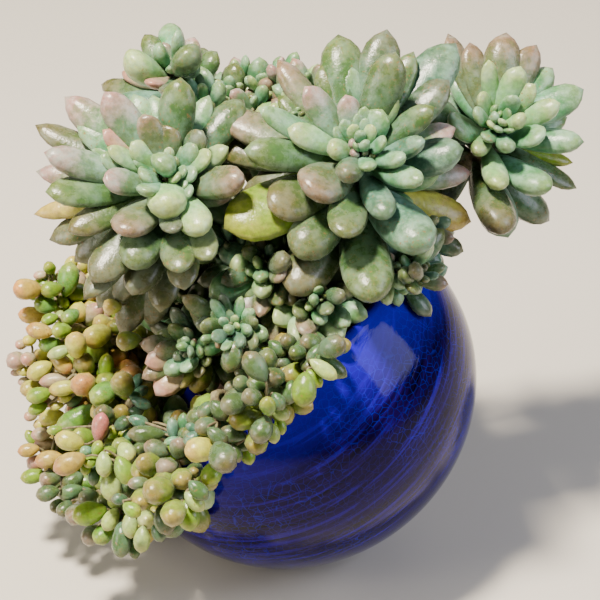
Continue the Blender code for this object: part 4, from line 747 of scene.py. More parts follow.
def filled_outline():
    """Closed outline (radius, height) of the pot with its soil, which leaves keep clear of."""
    wall_points, lip_points, floor_points = 10, 5, 1
    pot = pot_profile(wall_points, lip_points, floor_points)
    outside = floor_points + wall_points + lip_points
    buried = (np.arange(len(pot)) >= outside) & (pot[:, 1] < SOIL_HEIGHT)
    return np.vstack([pot[~buried], [[POT_RADIUS - POT_WALL, SOIL_HEIGHT], [0.0, SOIL_HEIGHT]]])


def to_pot(points):
    """Radius and height of points in the pot's frame, with the outward unit vector of each."""
    rel = points - CENTRE
    height = rel @ AXIS
    flat = rel - height[..., None] * AXIS
    radius = np.linalg.norm(flat, axis=-1)
    return radius, height, flat / np.maximum(radius, 1e-9)[..., None]


def pot_depth(points, outline):
    """Distance of each point outside the filled pot, less than zero inside it, and the way out.

    The distance is that to the nearest edge of the outline, and a point is inside where a line out
    from it crosses the outline an odd number of times.
    """
    radius, height, out = to_pot(points)
    place = np.stack([radius, height], -1)
    after = np.roll(outline, -1, axis=0)
    edge = after - outline
    share = ((place[:, None] - outline) * edge).sum(-1) / np.maximum((edge**2).sum(-1), 1e-15)
    away = place[:, None] - (outline + np.clip(share, 0, 1)[..., None] * edge)
    gap = np.linalg.norm(away, axis=-1)
    nearest = gap.argmin(1)
    rows = np.arange(len(place))
    crosses = (outline[:, 1] > place[:, 1, None]) != (after[:, 1] > place[:, 1, None])
    rise = np.where(np.abs(edge[:, 1]) < 1e-12, 1e-12, edge[:, 1])
    at = outline[:, 0] + (place[:, 1, None] - outline[:, 1]) / rise * edge[:, 0]
    inside = (crosses & (place[:, 0, None] < at)).sum(1) % 2 == 1
    sign = np.where(inside, -1.0, 1.0)
    way = away[rows, nearest] / np.maximum(gap[rows, nearest], 1e-9)[:, None] * sign[:, None]
    return gap[rows, nearest] * sign, way[:, :1] * out + way[:, 1:] * AXIS


def hole_places():
    """Where each stem stands in the soil, as (x, y) across the pot's axis, as in the solids."""
    rel = np.array([head.tip for head in HEADS.values()]) * MM - CENTRE
    flat = np.stack([rel @ ACROSS, rel @ ALONG], -1)
    reach = np.linalg.norm(flat, axis=1, keepdims=True)
    places = flat / reach * np.minimum(HOLE_SHARE * reach, HOLE_REACH)
    for _ in range(HOLE_ROUNDS):
        gap = places[:, None] - places
        dist = np.linalg.norm(gap, axis=-1) + np.eye(len(places))
        short = np.clip(HOLE_SPACING - dist, 0, None) * (1 - np.eye(len(places)))
        places = places + HOLE_PUSH * (gap / dist[..., None] * short[..., None]).sum(1)
        size = np.linalg.norm(places, axis=1, keepdims=True)
        places = places * np.minimum(1, HOLE_REACH / size)
    return places


def hermite(start, start_way, end, end_way, count):
    """Points on the cubic from start to end that leaves and arrives along the given vectors."""
    t = np.linspace(0, 1, count)[:, None]
    return (
        (2 * t**3 - 3 * t**2 + 1) * start
        + (t**3 - 2 * t**2 + t) * start_way
        + (3 * t**2 - 2 * t**3) * end
        + (t**3 - t**2) * end_way
    )


def along_path(path, back):
    """Points and directions on a path at each distance back from its last point."""
    step = np.linalg.norm(np.diff(path, axis=0), axis=1)
    at = np.concatenate([[0], np.cumsum(step)])
    goal = np.maximum(at[-1] - np.asarray(back), 0.0)
    k = np.clip(np.searchsorted(at, goal, side="right") - 1, 0, len(step) - 1)
    share = ((goal - at[k]) / step[k])[:, None]
    return path[k] + share * (path[k + 1] - path[k]), unit(path[k + 1] - path[k])


def stem_path(head, hole):
    """The stem's centre line, on the same cubics as in the solids but in finer steps.

    A stem whose straight way out would pass too low over the mouth bends over the rim first.
    """
    tip, facing, neck_length = np.array(head.tip) * MM, unit(head.facing), head.neck * MM
    soil = CENTRE + hole[0] * ACROSS + hole[1] * ALONG + SOIL_HEIGHT * AXIS
    buried = soil - HOLE_DEPTH / 2 * AXIS
    clear = soil + STEM_CLEAR * AXIS
    radius, height, out = to_pot(tip[None])
    neck = tip - facing * neck_length
    start = math.hypot(*hole)
    share = (MOUTH_RADIUS - start) / max(radius[0] - start, 1e-9)
    at_rim = SOIL_HEIGHT + share * (height[0] - SOIL_HEIGHT)
    end = tip - facing * neck_length * np.linspace(*NECK_SHARES, 5)[:, None]
    if radius[0] > MOUTH_RADIUS and at_rim < MOUTH_HEIGHT + RIM_CLEARANCE:
        rel = tip - CENTRE
        turn = np.arctan2(rel @ ALONG, rel @ ACROSS)
        lift = RIM_CLEARANCE + RIM_LIFT * max(height[0] - MOUTH_HEIGHT, 0.0)
        over = CENTRE + (MOUTH_HEIGHT + lift) * AXIS + MOUTH_RADIUS * round_axis(turn)
        way = unit(unit(neck - clear) + out[0])
        rise = hermite(clear, AXIS * STEM_RISE, over, way * STEM_RISE, 8)
        span = np.linalg.norm(neck - over)
        fall = hermite(over, way * span, neck, facing * span, 8)
        return np.vstack([buried[None], rise, fall[1:], end])
    span = np.linalg.norm(neck - clear)
    rise = hermite(clear, AXIS * span * STEM_PULL, neck, facing * span * STEM_PULL, 14)
    return np.vstack([buried[None], rise, end])


def picture_eye():
    """Where the camera stands."""
    target = VIEW_CENTRE + VIEW_OFFSET[0] * VIEW_RIGHT + VIEW_OFFSET[1] * VIEW_UP
    return target + VIEW_DISTANCE * VIEW_TOWARD


def picture_point(pixel, depth):
    """The point at a depth (world y) that the camera shows at a pixel of the photograph."""
    eye = picture_eye()
    right, down = (np.array(pixel) - PICTURE_HALF) * (math.tan(VIEW_HALF_ANGLE) / PICTURE_HALF)
    ray = right * VIEW_RIGHT - down * VIEW_UP - VIEW_TOWARD
    return eye + (depth - eye[1]) / ray[1] * ray


def branch_path(parent, branch):
    """A side shoot's centre line: it leaves its parent's stem and turns to its own facing."""
    tip = picture_point(branch.pixel, branch.depth * MM)
    facing = unit(branch.facing)
    leafy = branch.leafy * MM
    length = np.linalg.norm(tip - parent[-1])
    start, line = along_path(parent, [length + BRANCH_BACK])
    neck = tip - facing * leafy
    span = np.linalg.norm(neck - start[0]) * BRANCH_PULL
    rise = hermite(start[0], unit(line[0] + unit(neck - start[0])) * span, neck, facing * span, 8)
    return np.vstack([rise, tip - facing * leafy * np.linspace(*NECK_SHARES, 4)[:, None]])


def leaf_swell(t, foot, end):
    """Half-breadth of a leaf along its length, as a share of the widest: narrow foot, full end."""
    widest = foot / (foot + end)
    return (t / widest) ** foot * ((1 - t) / (1 - widest)) ** end


def grow_head(rng, path, number, head):
    """Leaves of one head by the rule: roots, ways and sizes from the tip to the oldest leaf.

    Leaf i stands i golden angles round the stem. Its opening to the axis and its length grow with
    its age, and its root steps back along the stem.
    """
    form = FORMS[head.form]
    count = head.leaves
    facing = unit(head.facing)
    age = (np.arange(count) + 0.5) / count
    root, line = along_path(path, head.leafy * MM * age**ROOT_POWER)
    axis = unit(line + FACING_PULL * facing)
    side = unit(np.cross(facing, SIDE_HINT))
    first = unit(side - (axis @ side)[:, None] * axis)
    second = np.cross(axis, first)
    turn = (np.arange(count) * GOLDEN_ANGLE + rng.uniform(-TURN_CHANCE, TURN_CHANCE, count))[:, None]
    low, high = form.open
    chance = rng.uniform(-OPEN_CHANCE, OPEN_CHANCE, count)
    opening = np.radians(low + (high - low) * age**OPEN_POWER + chance)[:, None]
    around = np.cos(turn) * first + np.sin(turn) * second
    grown = form.young + (1 - form.young) * np.minimum(1, GROWTH * age) ** GROWTH_POWER
    size = head.longest * MM * grown * (1 - WITHER * age**4) * rng.uniform(*SIZE_CHANCE, count)
    words = head.tones.split()
    tone = tone_numbers(words[i] for i in rng.integers(0, len(words), count))
    spread = rng.uniform(*WIDTH_CHANCE, count)
    return LeafSet(
        np.full(count, number),
        root + ROOT_SINK * form.stem * MM * np.sin(opening) * around,
        unit(np.cos(opening) * axis + np.sin(opening) * around),
        axis,
        size,
        form.width * spread,
        form.thick * spread,
        form.curl * rng.uniform(*CURL_CHANCE, count),
        tone,
        rng.uniform(-ROLL_CHANCE, ROLL_CHANCE, count),
    )


def place_leaves(rng, path, number, head, rows):
    """Leaves placed one by one: each tip is aimed at its own pixel of the photograph.

    The root steps back along the stem with the leaf's reach, less far where the leaf is too short
    for it. The tip is where the line of sight of its pixel meets the ball of the leaf's length round
    its root, on the near or on the far side. A line of sight that misses the ball makes the leaf
    long enough to reach it.
    """
    form = FORMS[head.form]
    rows = [Placed(*row) for row in rows]
    count = len(rows)
    length = np.array([row.length for row in rows]) * MM
    breadth = np.array([row.breadth for row in rows]) * MM
    tip = np.array(head.tip) * MM
    aim = np.array([picture_point((row.x, row.y), tip[1]) for row in rows])
    eye = picture_eye()
    sight = unit(aim - eye)
    flat = (aim - tip) - ((aim - tip) @ VIEW_TOWARD)[:, None] * VIEW_TOWARD
    reach = np.linalg.norm(flat, axis=1)
    back = PLACED_BACK * head.leafy * MM * (reach / reach.max()) ** PLACED_POWER
    back = np.where(length < 0, np.maximum(back, FAR_BACK * head.leafy * MM), back)
    for _ in range(SIGHT_ROUNDS):
        root, line = along_path(path, back)
        near = ((root - eye) * sight).sum(1)
        miss = np.linalg.norm(root - eye - near[:, None] * sight, axis=1)
        back = np.where(miss * SIGHT_SLACK > np.abs(length), STEP_BACK * back, back)
    axis = unit(line + FACING_PULL * unit(head.facing))
    size = np.maximum(np.abs(length), miss * SIGHT_SLACK)
    shift = np.sqrt(size**2 - miss**2) * -np.sign(length)
    way = unit(eye + (near + shift)[:, None] * sight - root)
    curl = form.curl * rng.uniform(*PLACED_CURL, count)
    lean = unit(axis - (axis * way).sum(1, keepdims=True) * way)
    way = unit(way - curl[:, None] * lean)
    return LeafSet(
        np.full(count, number),
        root + PLACED_SINK * form.stem * MM * way,
        way,
        axis,
        size,
        PLACED_WIDTH * breadth / size,
        PLACED_THICK * breadth / size,
        curl,
        tone_numbers(row.tone for row in rows),
        rng.uniform(-PLACED_ROLL, PLACED_ROLL, count),
    )


def stem_marks(stems):
    """Points on the leafy stretches of the smaller stems, and the number of each point's node."""
    marks, owners = [], []
    for number, path, head in stems:
        if head.form != "broad":
            points, _ = along_path(path, np.arange(0, head.leafy + MARK_REACH, MARK_STEP) * MM)
            marks.append(points)
            owners.append(np.full(len(points), number))
    return np.vstack(marks), np.concatenate(owners)


def bead_balls(middle, way, length, breadth):
    """Three balls that fill each bead leaf, and their radii."""
    shift = (length - breadth)[:, None] / 2 * way
    return np.stack([middle - shift, middle, middle + shift], 1), BEAD_BALL * breadth


def part_beads(eye, sight, first, layer, way, length, breadth):
    """Distance of each bead's middle from the eye, once beads that stand in each other have parted.

    They part along their lines of sight, the one that stands in front towards the camera, and keep
    clear of the pot.
    """
    outline = filled_outline()
    far = first.copy()
    for _ in range(PART_ROUNDS):
        balls, radius = bead_balls(eye + far[:, None] * sight, way, length, breadth)
        gap = np.linalg.norm(balls[:, None, :, None] - balls[None, :, None], axis=-1).min((2, 3))
        short = np.clip(radius[:, None] + radius - gap, 0, None)
        np.fill_diagonal(short, 0)
        rank = far + LAYER_RANK * layer * LAYER_DEPTH + np.arange(len(far)) * 1e-6
        side = np.sign(rank[:, None] - rank)
        depth, _ = pot_depth(balls.reshape(-1, 3), outline)
        sunk = np.clip(radius[:, None] + POT_CLEAR - depth.reshape(-1, 3), 0, None).max(1)
        far = far + PART_RATE * (short * side).sum(1) - sunk + PART_BACK * (first - far)
    return far


def bead_twig(marks, foot, way, length):
    """The nearest of the marks to a bead's foot, and the centre line of a twig from it to the bead."""
    start = marks[np.linalg.norm(marks - foot, axis=1).argmin()]
    span = np.linalg.norm(foot - start)
    lead = unit(foot - start - TWIG_SAG * span * VIEW_TOWARD)
    return hermite(start, lead * span, foot + TWIG_SINK * length * way, way * span, TWIG_POINTS)


def place_beads(stems, rows):
    """Bead leaves placed one by one, with the twig that each one sits on.

    A bead is a little longer than broad, so one that is seen shorter leans to the camera. Its middle
    lies on its line of sight, in front of the nearest stem, and a twig runs from there to its foot.
    """
    rows = [Bead(*row) for row in rows]
    count = len(rows)
    breadth = BEAD_SWELL * np.array([row.breadth for row in rows]) * MM
    seen = BEAD_SWELL * np.array([row.seen for row in rows]) * MM
    layer = np.array([row.layer for row in rows])
    turn = np.radians([row.turn for row in rows])[:, None]
    length = np.maximum(seen, BEAD_LENGTH * breadth)
    flat = np.clip((seen**2 - breadth**2) / (length**2 - breadth**2), 0, 1)[:, None]
    across = np.cos(turn) * VIEW_RIGHT + np.sin(turn) * VIEW_UP
    way = unit(np.sqrt(flat) * across + np.sqrt(1 - flat) * VIEW_TOWARD)
    eye = picture_eye()
    sight = unit(np.array([picture_point((row.x, row.y), VIEW_CENTRE[1]) for row in rows]) - eye)
    marks, owners = stem_marks(stems)
    near = sight @ (marks - eye).T
    miss = np.sqrt(np.maximum(((marks - eye) ** 2).sum(1) - near**2, 0))
    choice = (miss + NEAR_WEIGHT * near).argmin(1)
    take = np.arange(count)
    stand = length / 2 + BEAD_STAND
    front = np.sqrt(np.maximum(stand**2 - miss[take, choice] ** 2, 0))
    first = near[take, choice] - front + layer * LAYER_DEPTH
    far = part_beads(eye, sight, first, layer, way, length, breadth)
    foot = eye + far[:, None] * sight - 0.5 * length[:, None] * way
    owner = owners[choice]
    twigs = [(owner[i], bead_twig(marks[owners == owner[i]], foot[i], way[i], length[i])) for i in take]
    beads = LeafSet(
        owner,
        foot,
        way,
        np.tile(unit(VIEW_TOWARD + BEAD_AXIS), (count, 1)),
        length,
        breadth / length,
        BEAD_THICK * breadth / length,
        np.full(count, BEAD_CURL),
        tone_numbers(row.tone for row in rows),
        np.zeros(count),
    )
    return beads, twigs


def join(sets):
    """One set of leaves from several."""
    return LeafSet(*(np.concatenate(column) for column in zip(*sets)))


def pick(leaves, rows):
    """The chosen rows of a set of leaves."""
    return LeafSet(*(column[rows] for column in leaves))


def leaf_sides(leaves):
    """Unit vectors of each leaf: to its head's axis, and across its breadth."""
    lean = unit(leaves.axis - (leaves.axis * leaves.way).sum(1, keepdims=True) * leaves.way)
    broad = np.cross(leaves.way, lean)
    turn = leaves.roll[:, None]
    return np.cos(turn) * lean + np.sin(turn) * broad, np.cos(turn) * broad - np.sin(turn) * lean


def leaf_balls(leaves):
    """Balls that fill each leaf, two abreast at three places along it, and their radii."""
    lean, broad = leaf_sides(leaves)
    swell = leaf_swell(SPINE, *BALL_SWELL)
    bend = (leaves.curl[:, None] * SPINE**2)[..., None]
    along = leaves.way[:, None] * SPINE[:, None] + lean[:, None] * bend
    line = leaves.root[:, None] + along * leaves.size[:, None, None]
    radius = (leaves.size * leaves.thick / 2)[:, None] * swell
    spread = (leaves.size * np.maximum(leaves.width - leaves.thick, 0) / 2)[:, None] * swell
    offset = broad[:, None] * spread[..., None]
    balls = np.stack([line - offset, line + offset], 2)
    return balls.reshape(len(line), -1, 3), np.repeat(radius, 2, axis=1)


def near_pairs(leaves):
    """Pairs of leaves that may touch."""
    middle = leaves.root + LEAF_MIDDLE * leaves.size[:, None] * leaves.way
    gap = np.linalg.norm(middle[:, None] - middle, axis=-1)
    reach = NEIGHBOUR_REACH * (leaves.size[:, None] + leaves.size) + NEIGHBOUR_GAP
    return np.nonzero(np.triu(gap < reach, 1))


def leaf_pushes(leaves, one, two, press):
    """How far the balls of paired leaves stand in each other, and the force that parts each leaf."""
    balls, radius = leaf_balls(leaves)
    gap = balls[one][:, :, None] - balls[two][:, None]
    dist = np.linalg.norm(gap, axis=-1)
    want = (radius[one][:, :, None] + radius[two][:, None]) * press[:, None, None]
    short = np.clip(want - dist, 0, None)
    push = gap / np.maximum(dist, 1e-9)[..., None] * short[..., None]
    force = np.zeros_like(leaves.way)
    np.add.at(force, one, (push.sum(2) * LEVER[:, None]).sum(1))
    np.add.at(force, two, -(push.sum(1) * LEVER[:, None]).sum(1))
    return short.max((1, 2)), force


def relax(leaves, stiff, rounds=40):
    """Turn crowded leaves away from each other, from the pot and from the table."""
    one, two = near_pairs(leaves)
    press = np.where(leaves.owner[one] == leaves.owner[two], PRESS_SAME, PRESS_OTHER)
    outline = filled_outline()
    first = leaves.way.copy()
    stiff = stiff[:, None]
    for _ in range(rounds):
        _, force = leaf_pushes(leaves, one, two, press)
        balls, radius = leaf_balls(leaves)
        depth, out = pot_depth(balls.reshape(-1, 3), outline)
        short = np.clip(radius.ravel() + POT_CLEAR - depth, 0, None)
        push = (out * short[:, None]).reshape(balls.shape)
        push[..., 2] += np.clip(radius + TABLE_CLEAR - balls[..., 2], 0, None)
        force += 2 * (push * LEVER[:, None]).sum(1)
        turn = np.clip(TURN_RATE * force / leaves.size[:, None], -TURN_LIMIT, TURN_LIMIT) / stiff
        turn -= (turn * leaves.way).sum(1, keepdims=True) * leaves.way
        leaves = leaves._replace(way=unit(leaves.way + turn + TURN_BACK * stiff * (first - leaves.way)))
    return leaves, one, two


def thin_out(leaves, one, two, placed):
    """Slim the leaves of each pair that still stand deep in each other, and drop the most crowded.

    Of a pair the ruled leaf gives way to the placed one, and otherwise the later to the earlier.
    """
    outline = filled_outline()
    start = leaves.size.copy()
    later = np.maximum(one, two)
    loser = np.where(placed[one] & ~placed[two], two, np.where(placed[two] & ~placed[one], one, later))
    for _ in range(SLIM_ROUNDS):
        depth, _ = leaf_pushes(leaves, one, two, np.ones(len(one)))
        body = leaves.size * leaves.thick
        deep = depth > DEEP_SHARE * np.minimum(body[one], body[two])
        slim = np.ones(len(leaves.size))
        slim[np.unique(loser[deep])] = SLIM
        balls, radius = leaf_balls(leaves)
        inside, _ = pot_depth(balls.reshape(-1, 3), outline)
        slim[(inside.reshape(radius.shape) - radius).min(1) < -SUNK_DEPTH] = SUNK_SLIM
        thick = placed & (leaves.thick > THINNEST * leaves.width)
        leaves = leaves._replace(
            size=leaves.size * np.where(placed, 1.0, slim),
            thick=leaves.thick * np.where(thick, slim, 1.0),
        )
    return pick(leaves, placed | (leaves.size > DROP_SHARE * start))


def spare_beads(name, beads):
    """The ruled beads that leave room for the placed ones: those that don't face the view.

    At the rim those above the tip of their stem in the view are left out too, as they would hide
    the middle heads.
    """
    room = beads.way @ VIEW_TOWARD < SPARE_WAY
    if name.startswith("rim"):
        middle = beads.root + BEAD_MIDDLE * beads.size[:, None] * beads.way
        room &= middle @ VIEW_UP < np.array(HEADS[name].tip) * MM @ VIEW_UP
    return pick(beads, room)


@lru_cache
def grow_plant(seed):
    """Every stem's owner and path, the beads' twigs, and all leaves, pushed apart, as one set."""
    rng = np.random.default_rng(seed)
    holes = hole_places()
    stems, sets, placed = [], [], []

    def add_leaves(leaves, by_eye):
        """Add a set of leaves, and whether they were placed one by one."""
        sets.append(leaves)
        placed.append(np.full(len(leaves.owner), by_eye))

    for number, (name, head) in enumerate(HEADS.items()):
        path = stem_path(head, holes[number])
        stems.append((number, path, head))
        ruled = grow_head(rng, path, number, head)
        if head.form == "bead":
            ruled = spare_beads(name, ruled)
        if name in PLACED:
            add_leaves(place_leaves(rng, path, number, head, PLACED[name]), True)
            order = np.arange(head.leaves)
            hidden = (ruled.way @ VIEW_TOWARD < HIDDEN_WAY) & (order > head.leaves * OLD_SHARE)
            ruled = pick(ruled, hidden | (order < CENTRE_LEAVES))
        add_leaves(ruled, False)
    for branch in BRANCHES:
        number = list(HEADS).index(branch.parent)
        parent = HEADS[branch.parent]
        path = branch_path(stems[number][1], branch)
        shoot = parent._replace(
            facing=branch.facing,
            form=branch.form,
            leaves=branch.leaves,
            longest=branch.longest,
            leafy=branch.leafy,
            tones=parent.tones if parent.form == branch.form else MIDDLE,
        )
        stems.append((number, path, shoot))
        ruled = grow_head(rng, path, number, shoot)
        add_leaves(spare_beads(branch.parent, ruled) if shoot.form == "bead" else ruled, False)
    beads, twigs = place_beads(stems, BEADS)
    add_leaves(beads, True)
    placed = np.concatenate(placed)
    leaves, one, two = relax(join(sets), np.where(placed, PLACED_STIFF, 1.0))
    return stems, twigs, thin_out(leaves, one, two, placed)


def closed_grid(rings, sides):
    """Faces of a closed surface: a pole, rings of sides points, and a pole, facing outwards."""
    ring = np.arange(rings * sides).reshape(rings, sides) + 1
    after = np.roll(ring, -1, axis=1)
    quads = np.stack([ring[:-1], after[:-1], after[1:], ring[1:]], -1).reshape(-1, 4)
    last = rings * sides + 1
    start = np.stack([np.zeros(sides, int), after[0], ring[0]], -1)
    end = np.stack([np.full(sides, last), ring[-1], after[-1]], -1)
    return quads, np.vstack([start, end])


def repeat_faces(faces, count, size, start=0):
    """The faces of one shape for each of its copies, which have size points each from start on."""
    step = start + size * np.arange(count)[:, None, None]
    return (faces + step).reshape(-1, faces.shape[1])


def write_mesh(name, points, quads, triangles, attributes=(), finishes=(), slots=None):
    """A smooth mesh object of the points and faces, with its point attributes and its finishes."""
    mesh = bpy.data.meshes.new(name)
    mesh.vertices.add(len(points))
    mesh.vertices.foreach_set("co", np.ascontiguousarray(points, np.float32).ravel())
    corners = np.concatenate([quads.ravel(), triangles.ravel()]).astype(np.int32)
    totals = np.concatenate([np.full(len(quads), 4), np.full(len(triangles), 3)]).astype(np.int32)
    starts = np.concatenate([[0], np.cumsum(totals)[:-1]]).astype(np.int32)
    mesh.loops.add(len(corners))
    mesh.loops.foreach_set("vertex_index", corners)
    mesh.polygons.add(len(totals))
    mesh.polygons.foreach_set("loop_start", starts)
    if slots is not None:
        mesh.polygons.foreach_set("material_index", slots.astype(np.int32))
    for finish in finishes:
        mesh.materials.append(finish)
    for key, values in dict(attributes).items():
        layer = mesh.attributes.new(key, "FLOAT_VECTOR", "POINT")
        layer.data.foreach_set("vector", np.ascontiguousarray(values, np.float32).ravel())
    mesh.update(calc_edges=True)
    mesh.validate()
    mesh.shade_smooth()
    piece = bpy.data.objects.new(name, mesh)
    bpy.context.scene.collection.objects.link(piece)
    return piece


def leaf_shapes(leaves, form):
    """Points of each leaf, with its share along the leaf.

    At the share t along the leaf the section is an oval as wide as the swelling there. Its inner
    half, to the head's axis, is flatter than its keeled outer half, and the middle line bends to
    the axis with t squared. The last point stands out a little as the leaf's small tip.
    """
    lean, broad = leaf_sides(leaves)
    t = (1 - np.cos(math.pi * np.arange(1, form.rings + 1) / (form.rings + 1))) / 2
    swell = leaf_swell(t, form.foot, form.end)
    turn = 2 * math.pi * np.arange(form.sides) / form.sides
    keel = np.where(np.sin(turn) > 0, INNER_HALF, OUTER_HALF + KEEL * np.abs(np.sin(turn)) ** 3)
    wide = swell[:, None] * np.cos(turn)
    deep = swell[:, None] * np.sin(turn) * keel
    size = leaves.size[:, None, None, None]
    width = (leaves.width / 2)[:, None, None, None] * wide[..., None] * broad[:, None, None]
    thick = (leaves.thick / 2)[:, None, None, None] * deep[..., None] * lean[:, None, None]
    bend = (leaves.curl[:, None] * t**2)[:, :, None, None] * lean[:, None, None]
    middle = leaves.way[:, None, None] * t[:, None, None] + bend
    rings = leaves.root[:, None, None] + size * (middle + width + thick)
    foot = leaves.root[:, None]
    end = 1 + form.mucro
    last = leaves.way * end + lean * (leaves.curl * end**2)[:, None]
    tip = foot + leaves.size[:, None, None] * last[:, None]
    count = len(leaves.size)
    points = np.concatenate([foot, rings.reshape(count, -1, 3), tip], 1)
    along = np.concatenate([[0.0], np.repeat(t, form.sides), [1.0]])
    return points, np.broadcast_to(along, (count, len(along)))


def tube(path, radius, sides):
    """Points and share along of a closed tube: a circle carried along the path, a pole at each end.

    Each circle stands across the path's direction, on a frame that turns with it as little as it can.
    """
    way = unit(np.gradient(path, axis=0))
    side = np.zeros_like(path)
    side[0] = unit(np.cross(way[0], TUBE_HINT))
    for i in range(1, len(path)):
        side[i] = unit(side[i - 1] - (side[i - 1] @ way[i]) * way[i])
    other = np.cross(way, side)
    turn = 2 * math.pi * np.arange(sides) / sides
    circle = np.cos(turn)[:, None] * side[:, None] + np.sin(turn)[:, None] * other[:, None]
    rings = path[:, None] + radius[:, None, None] * circle
    points = np.vstack([path[:1], rings.reshape(-1, 3), path[-1:]])
    along = np.concatenate([[0.0], np.repeat(np.linspace(0, 1, len(path)), sides), [1.0]])
    return points, along


def stem_shape(path, form, leafy):
    """Points of a stem: a tube with a leaf scar every few millimetres, thicker under its leaves.

    Its radius is the form's, times a bell curve round the middle of its leafy stretch, times a
    taper at its tip, times a wave for its scars.
    """
    length = np.linalg.norm(np.diff(path, axis=0), axis=1).sum()
    back = np.linspace(length, 0, max(STEM_LEAST_RINGS, int(length / STEM_STEP)))
    fine, _ = along_path(path, back)
    swell = 1 + STEM_SWELL * np.exp(-(((back - leafy / 2) / (leafy / 2)) ** 2))
    taper = np.clip(back / STEM_TAPER, STEM_POINT, 1)
    scar = 1 + SCAR_HEIGHT * np.sin(back / SCAR_SPACING * 2 * math.pi) ** 3
    return tube(fine, form.stem * MM * swell * taper * scar, STEM_SIDES)


def leaf_attributes(rng, leaves, along):
    """Colours and place of each point: skin and tip colour, and (share along, powder, chance)."""
    tones = list(TONES.values())
    skin = np.array([linear(tone.skin) for tone in tones])[leaves.tone]
    tip = np.array([linear(tone.tip) for tone in tones])[leaves.tone]
    powder = np.array([tone.powder for tone in tones])[leaves.tone]
    count = len(leaves.size)
    light = rng.uniform(*LIGHT_CHANCE, (count, 1))
    chance = rng.uniform(0, 1, (count, 1))
    spread = [np.broadcast_to(value, along.shape) for value in (along, powder[:, None], chance)]
    shape = (*along.shape, 3)
    return (
        np.broadcast_to((skin * light)[:, None], shape),
        np.broadcast_to((tip * light)[:, None], shape),
        np.stack(spread, -1),
    )


def add_node(tree, kind, inputs=(), out=0, **settings):
    """Add a shader node with its settings, and give one of its outputs.

    Each input takes a value, or the output that feeds it.
    """
    node = tree.nodes.new("ShaderNode" + kind)
    for key, value in settings.items():
        setattr(node, key, value)
    for socket, value in dict(inputs).items():
        if isinstance(value, bpy.types.NodeSocket):
            tree.links.new(value, node.inputs[socket])
        else:
            node.inputs[socket].default_value = value
    return node.outputs[out]


def new_finish(name, **sockets):
    """A material of one Principled shader with these socket values, and its node tree."""
    made = bpy.data.materials.new(name)
    made.use_nodes = True
    shader = made.node_tree.nodes["Principled BSDF"]
    for key, value in sockets.items():
        shader.inputs[key.replace("_", " ")].default_value = value
    return made, made.node_tree


def feed_shader(tree, **sockets):
    """Link each output to the Principled shader's socket of that name."""
    shader = tree.nodes["Principled BSDF"]
    for key, output in sockets.items():
        tree.links.new(output, shader.inputs[key.replace("_", " ")])


def finish_named(name, make):
    """The finish of this name, made once."""
    return bpy.data.materials.get(name) or make(name)


def leaf_skin(name):
    """Waxy cuticle of a sedum leaf, grown, with its powdery bloom.

    The eye gets a soft sheen, light that sinks a little into the flesh, a flushed tip, a pale
    powder that is rubbed off in patches, and a few corky specks.
    """
    settings = bpy.context.scene.sedum_plant
    made, tree = new_finish(
        name,
        Subsurface_Weight=0.12,
        Subsurface_Radius=(0.6, 1.0, 0.35),
        Subsurface_Scale=0.0022,
        IOR=1.42,
        Sheen_Weight=0.06,
        Sheen_Roughness=0.5,
    )
    node = partial(add_node, tree)
    coords = node("TexCoord", out="Object")
    skin = node("Attribute", out="Vector", attribute_name="skin")
    tip = node("Attribute", out="Vector", attribute_name="tip")
    place = node("Attribute", out="Vector", attribute_name="place")
    along, powder, chance = node("SeparateXYZ", {0: place}).node.outputs
    patches = node("TexNoise", {"Vector": coords, "Scale": 1 / (7 * MM), "Detail": 5.0, "Roughness": 0.68})
    mottle = node("TexNoise", {"Vector": coords, "Scale": 1 / (2.2 * MM), "Detail": 3.0, "Roughness": 0.6})
    specks = node("TexNoise", {"Vector": coords, "Scale": 1 / (1.1 * MM), "Detail": 1.0, "Roughness": 0.5})
    wander = node("Math", {0: patches, 1: 1.0, 2: -0.5}, operation="MULTIPLY_ADD")
    reach = node("Math", {0: along, 1: wander}, operation="ADD")
    flush = node(
        "MapRange",
        {"Value": reach, "From Min": 0.60, "From Max": 1.00, "To Max": 0.90},
        interpolation_type="SMOOTHSTEP",
    )
    body = node("Mix", {0: flush, 6: skin, 7: tip}, 2, data_type="RGBA")
    shades = {"From Min": 0.3, "From Max": 0.7, "To Min": 0.54, "To Max": 0.98}
    light = node("MapRange", {"Value": mottle, **shades})
    body = node("VectorMath", {0: body, 3: light}, operation="SCALE")
    bloom = {"From Min": 0.38, "From Max": 0.68, "To Min": 0.14, "To Max": settings.powder_amount}
    cover = node("MapRange", {"Value": patches, **bloom}, interpolation_type="SMOOTHSTEP")
    cover = node("Math", {0: cover, 1: powder}, operation="MULTIPLY")
    body = node("Mix", {0: cover, 6: body, 7: tuple(settings.powder)}, 2, data_type="RGBA")
    corky = node("MapRange", {"Value": specks, "From Min": 0.64, "From Max": 0.72, "To Max": 0.8})
    corky = node("Math", {0: corky, 1: chance}, operation="MULTIPLY")
    body = node("Mix", {0: corky, 6: body, 7: rgba("#7d5a36")}, 2, data_type="RGBA")
    rough = node("MapRange", {"Value": cover, "To Min": 0.26, "To Max": 0.50})
    height = node("Math", {0: patches, 1: 4.0, 2: mottle}, operation="MULTIPLY_ADD")
    bump = node("Bump", {"Strength": 0.35, "Distance": 0.0003, "Height": height})
    feed_shader(tree, Base_Color=body, Roughness=rough, Normal=bump)
    return made


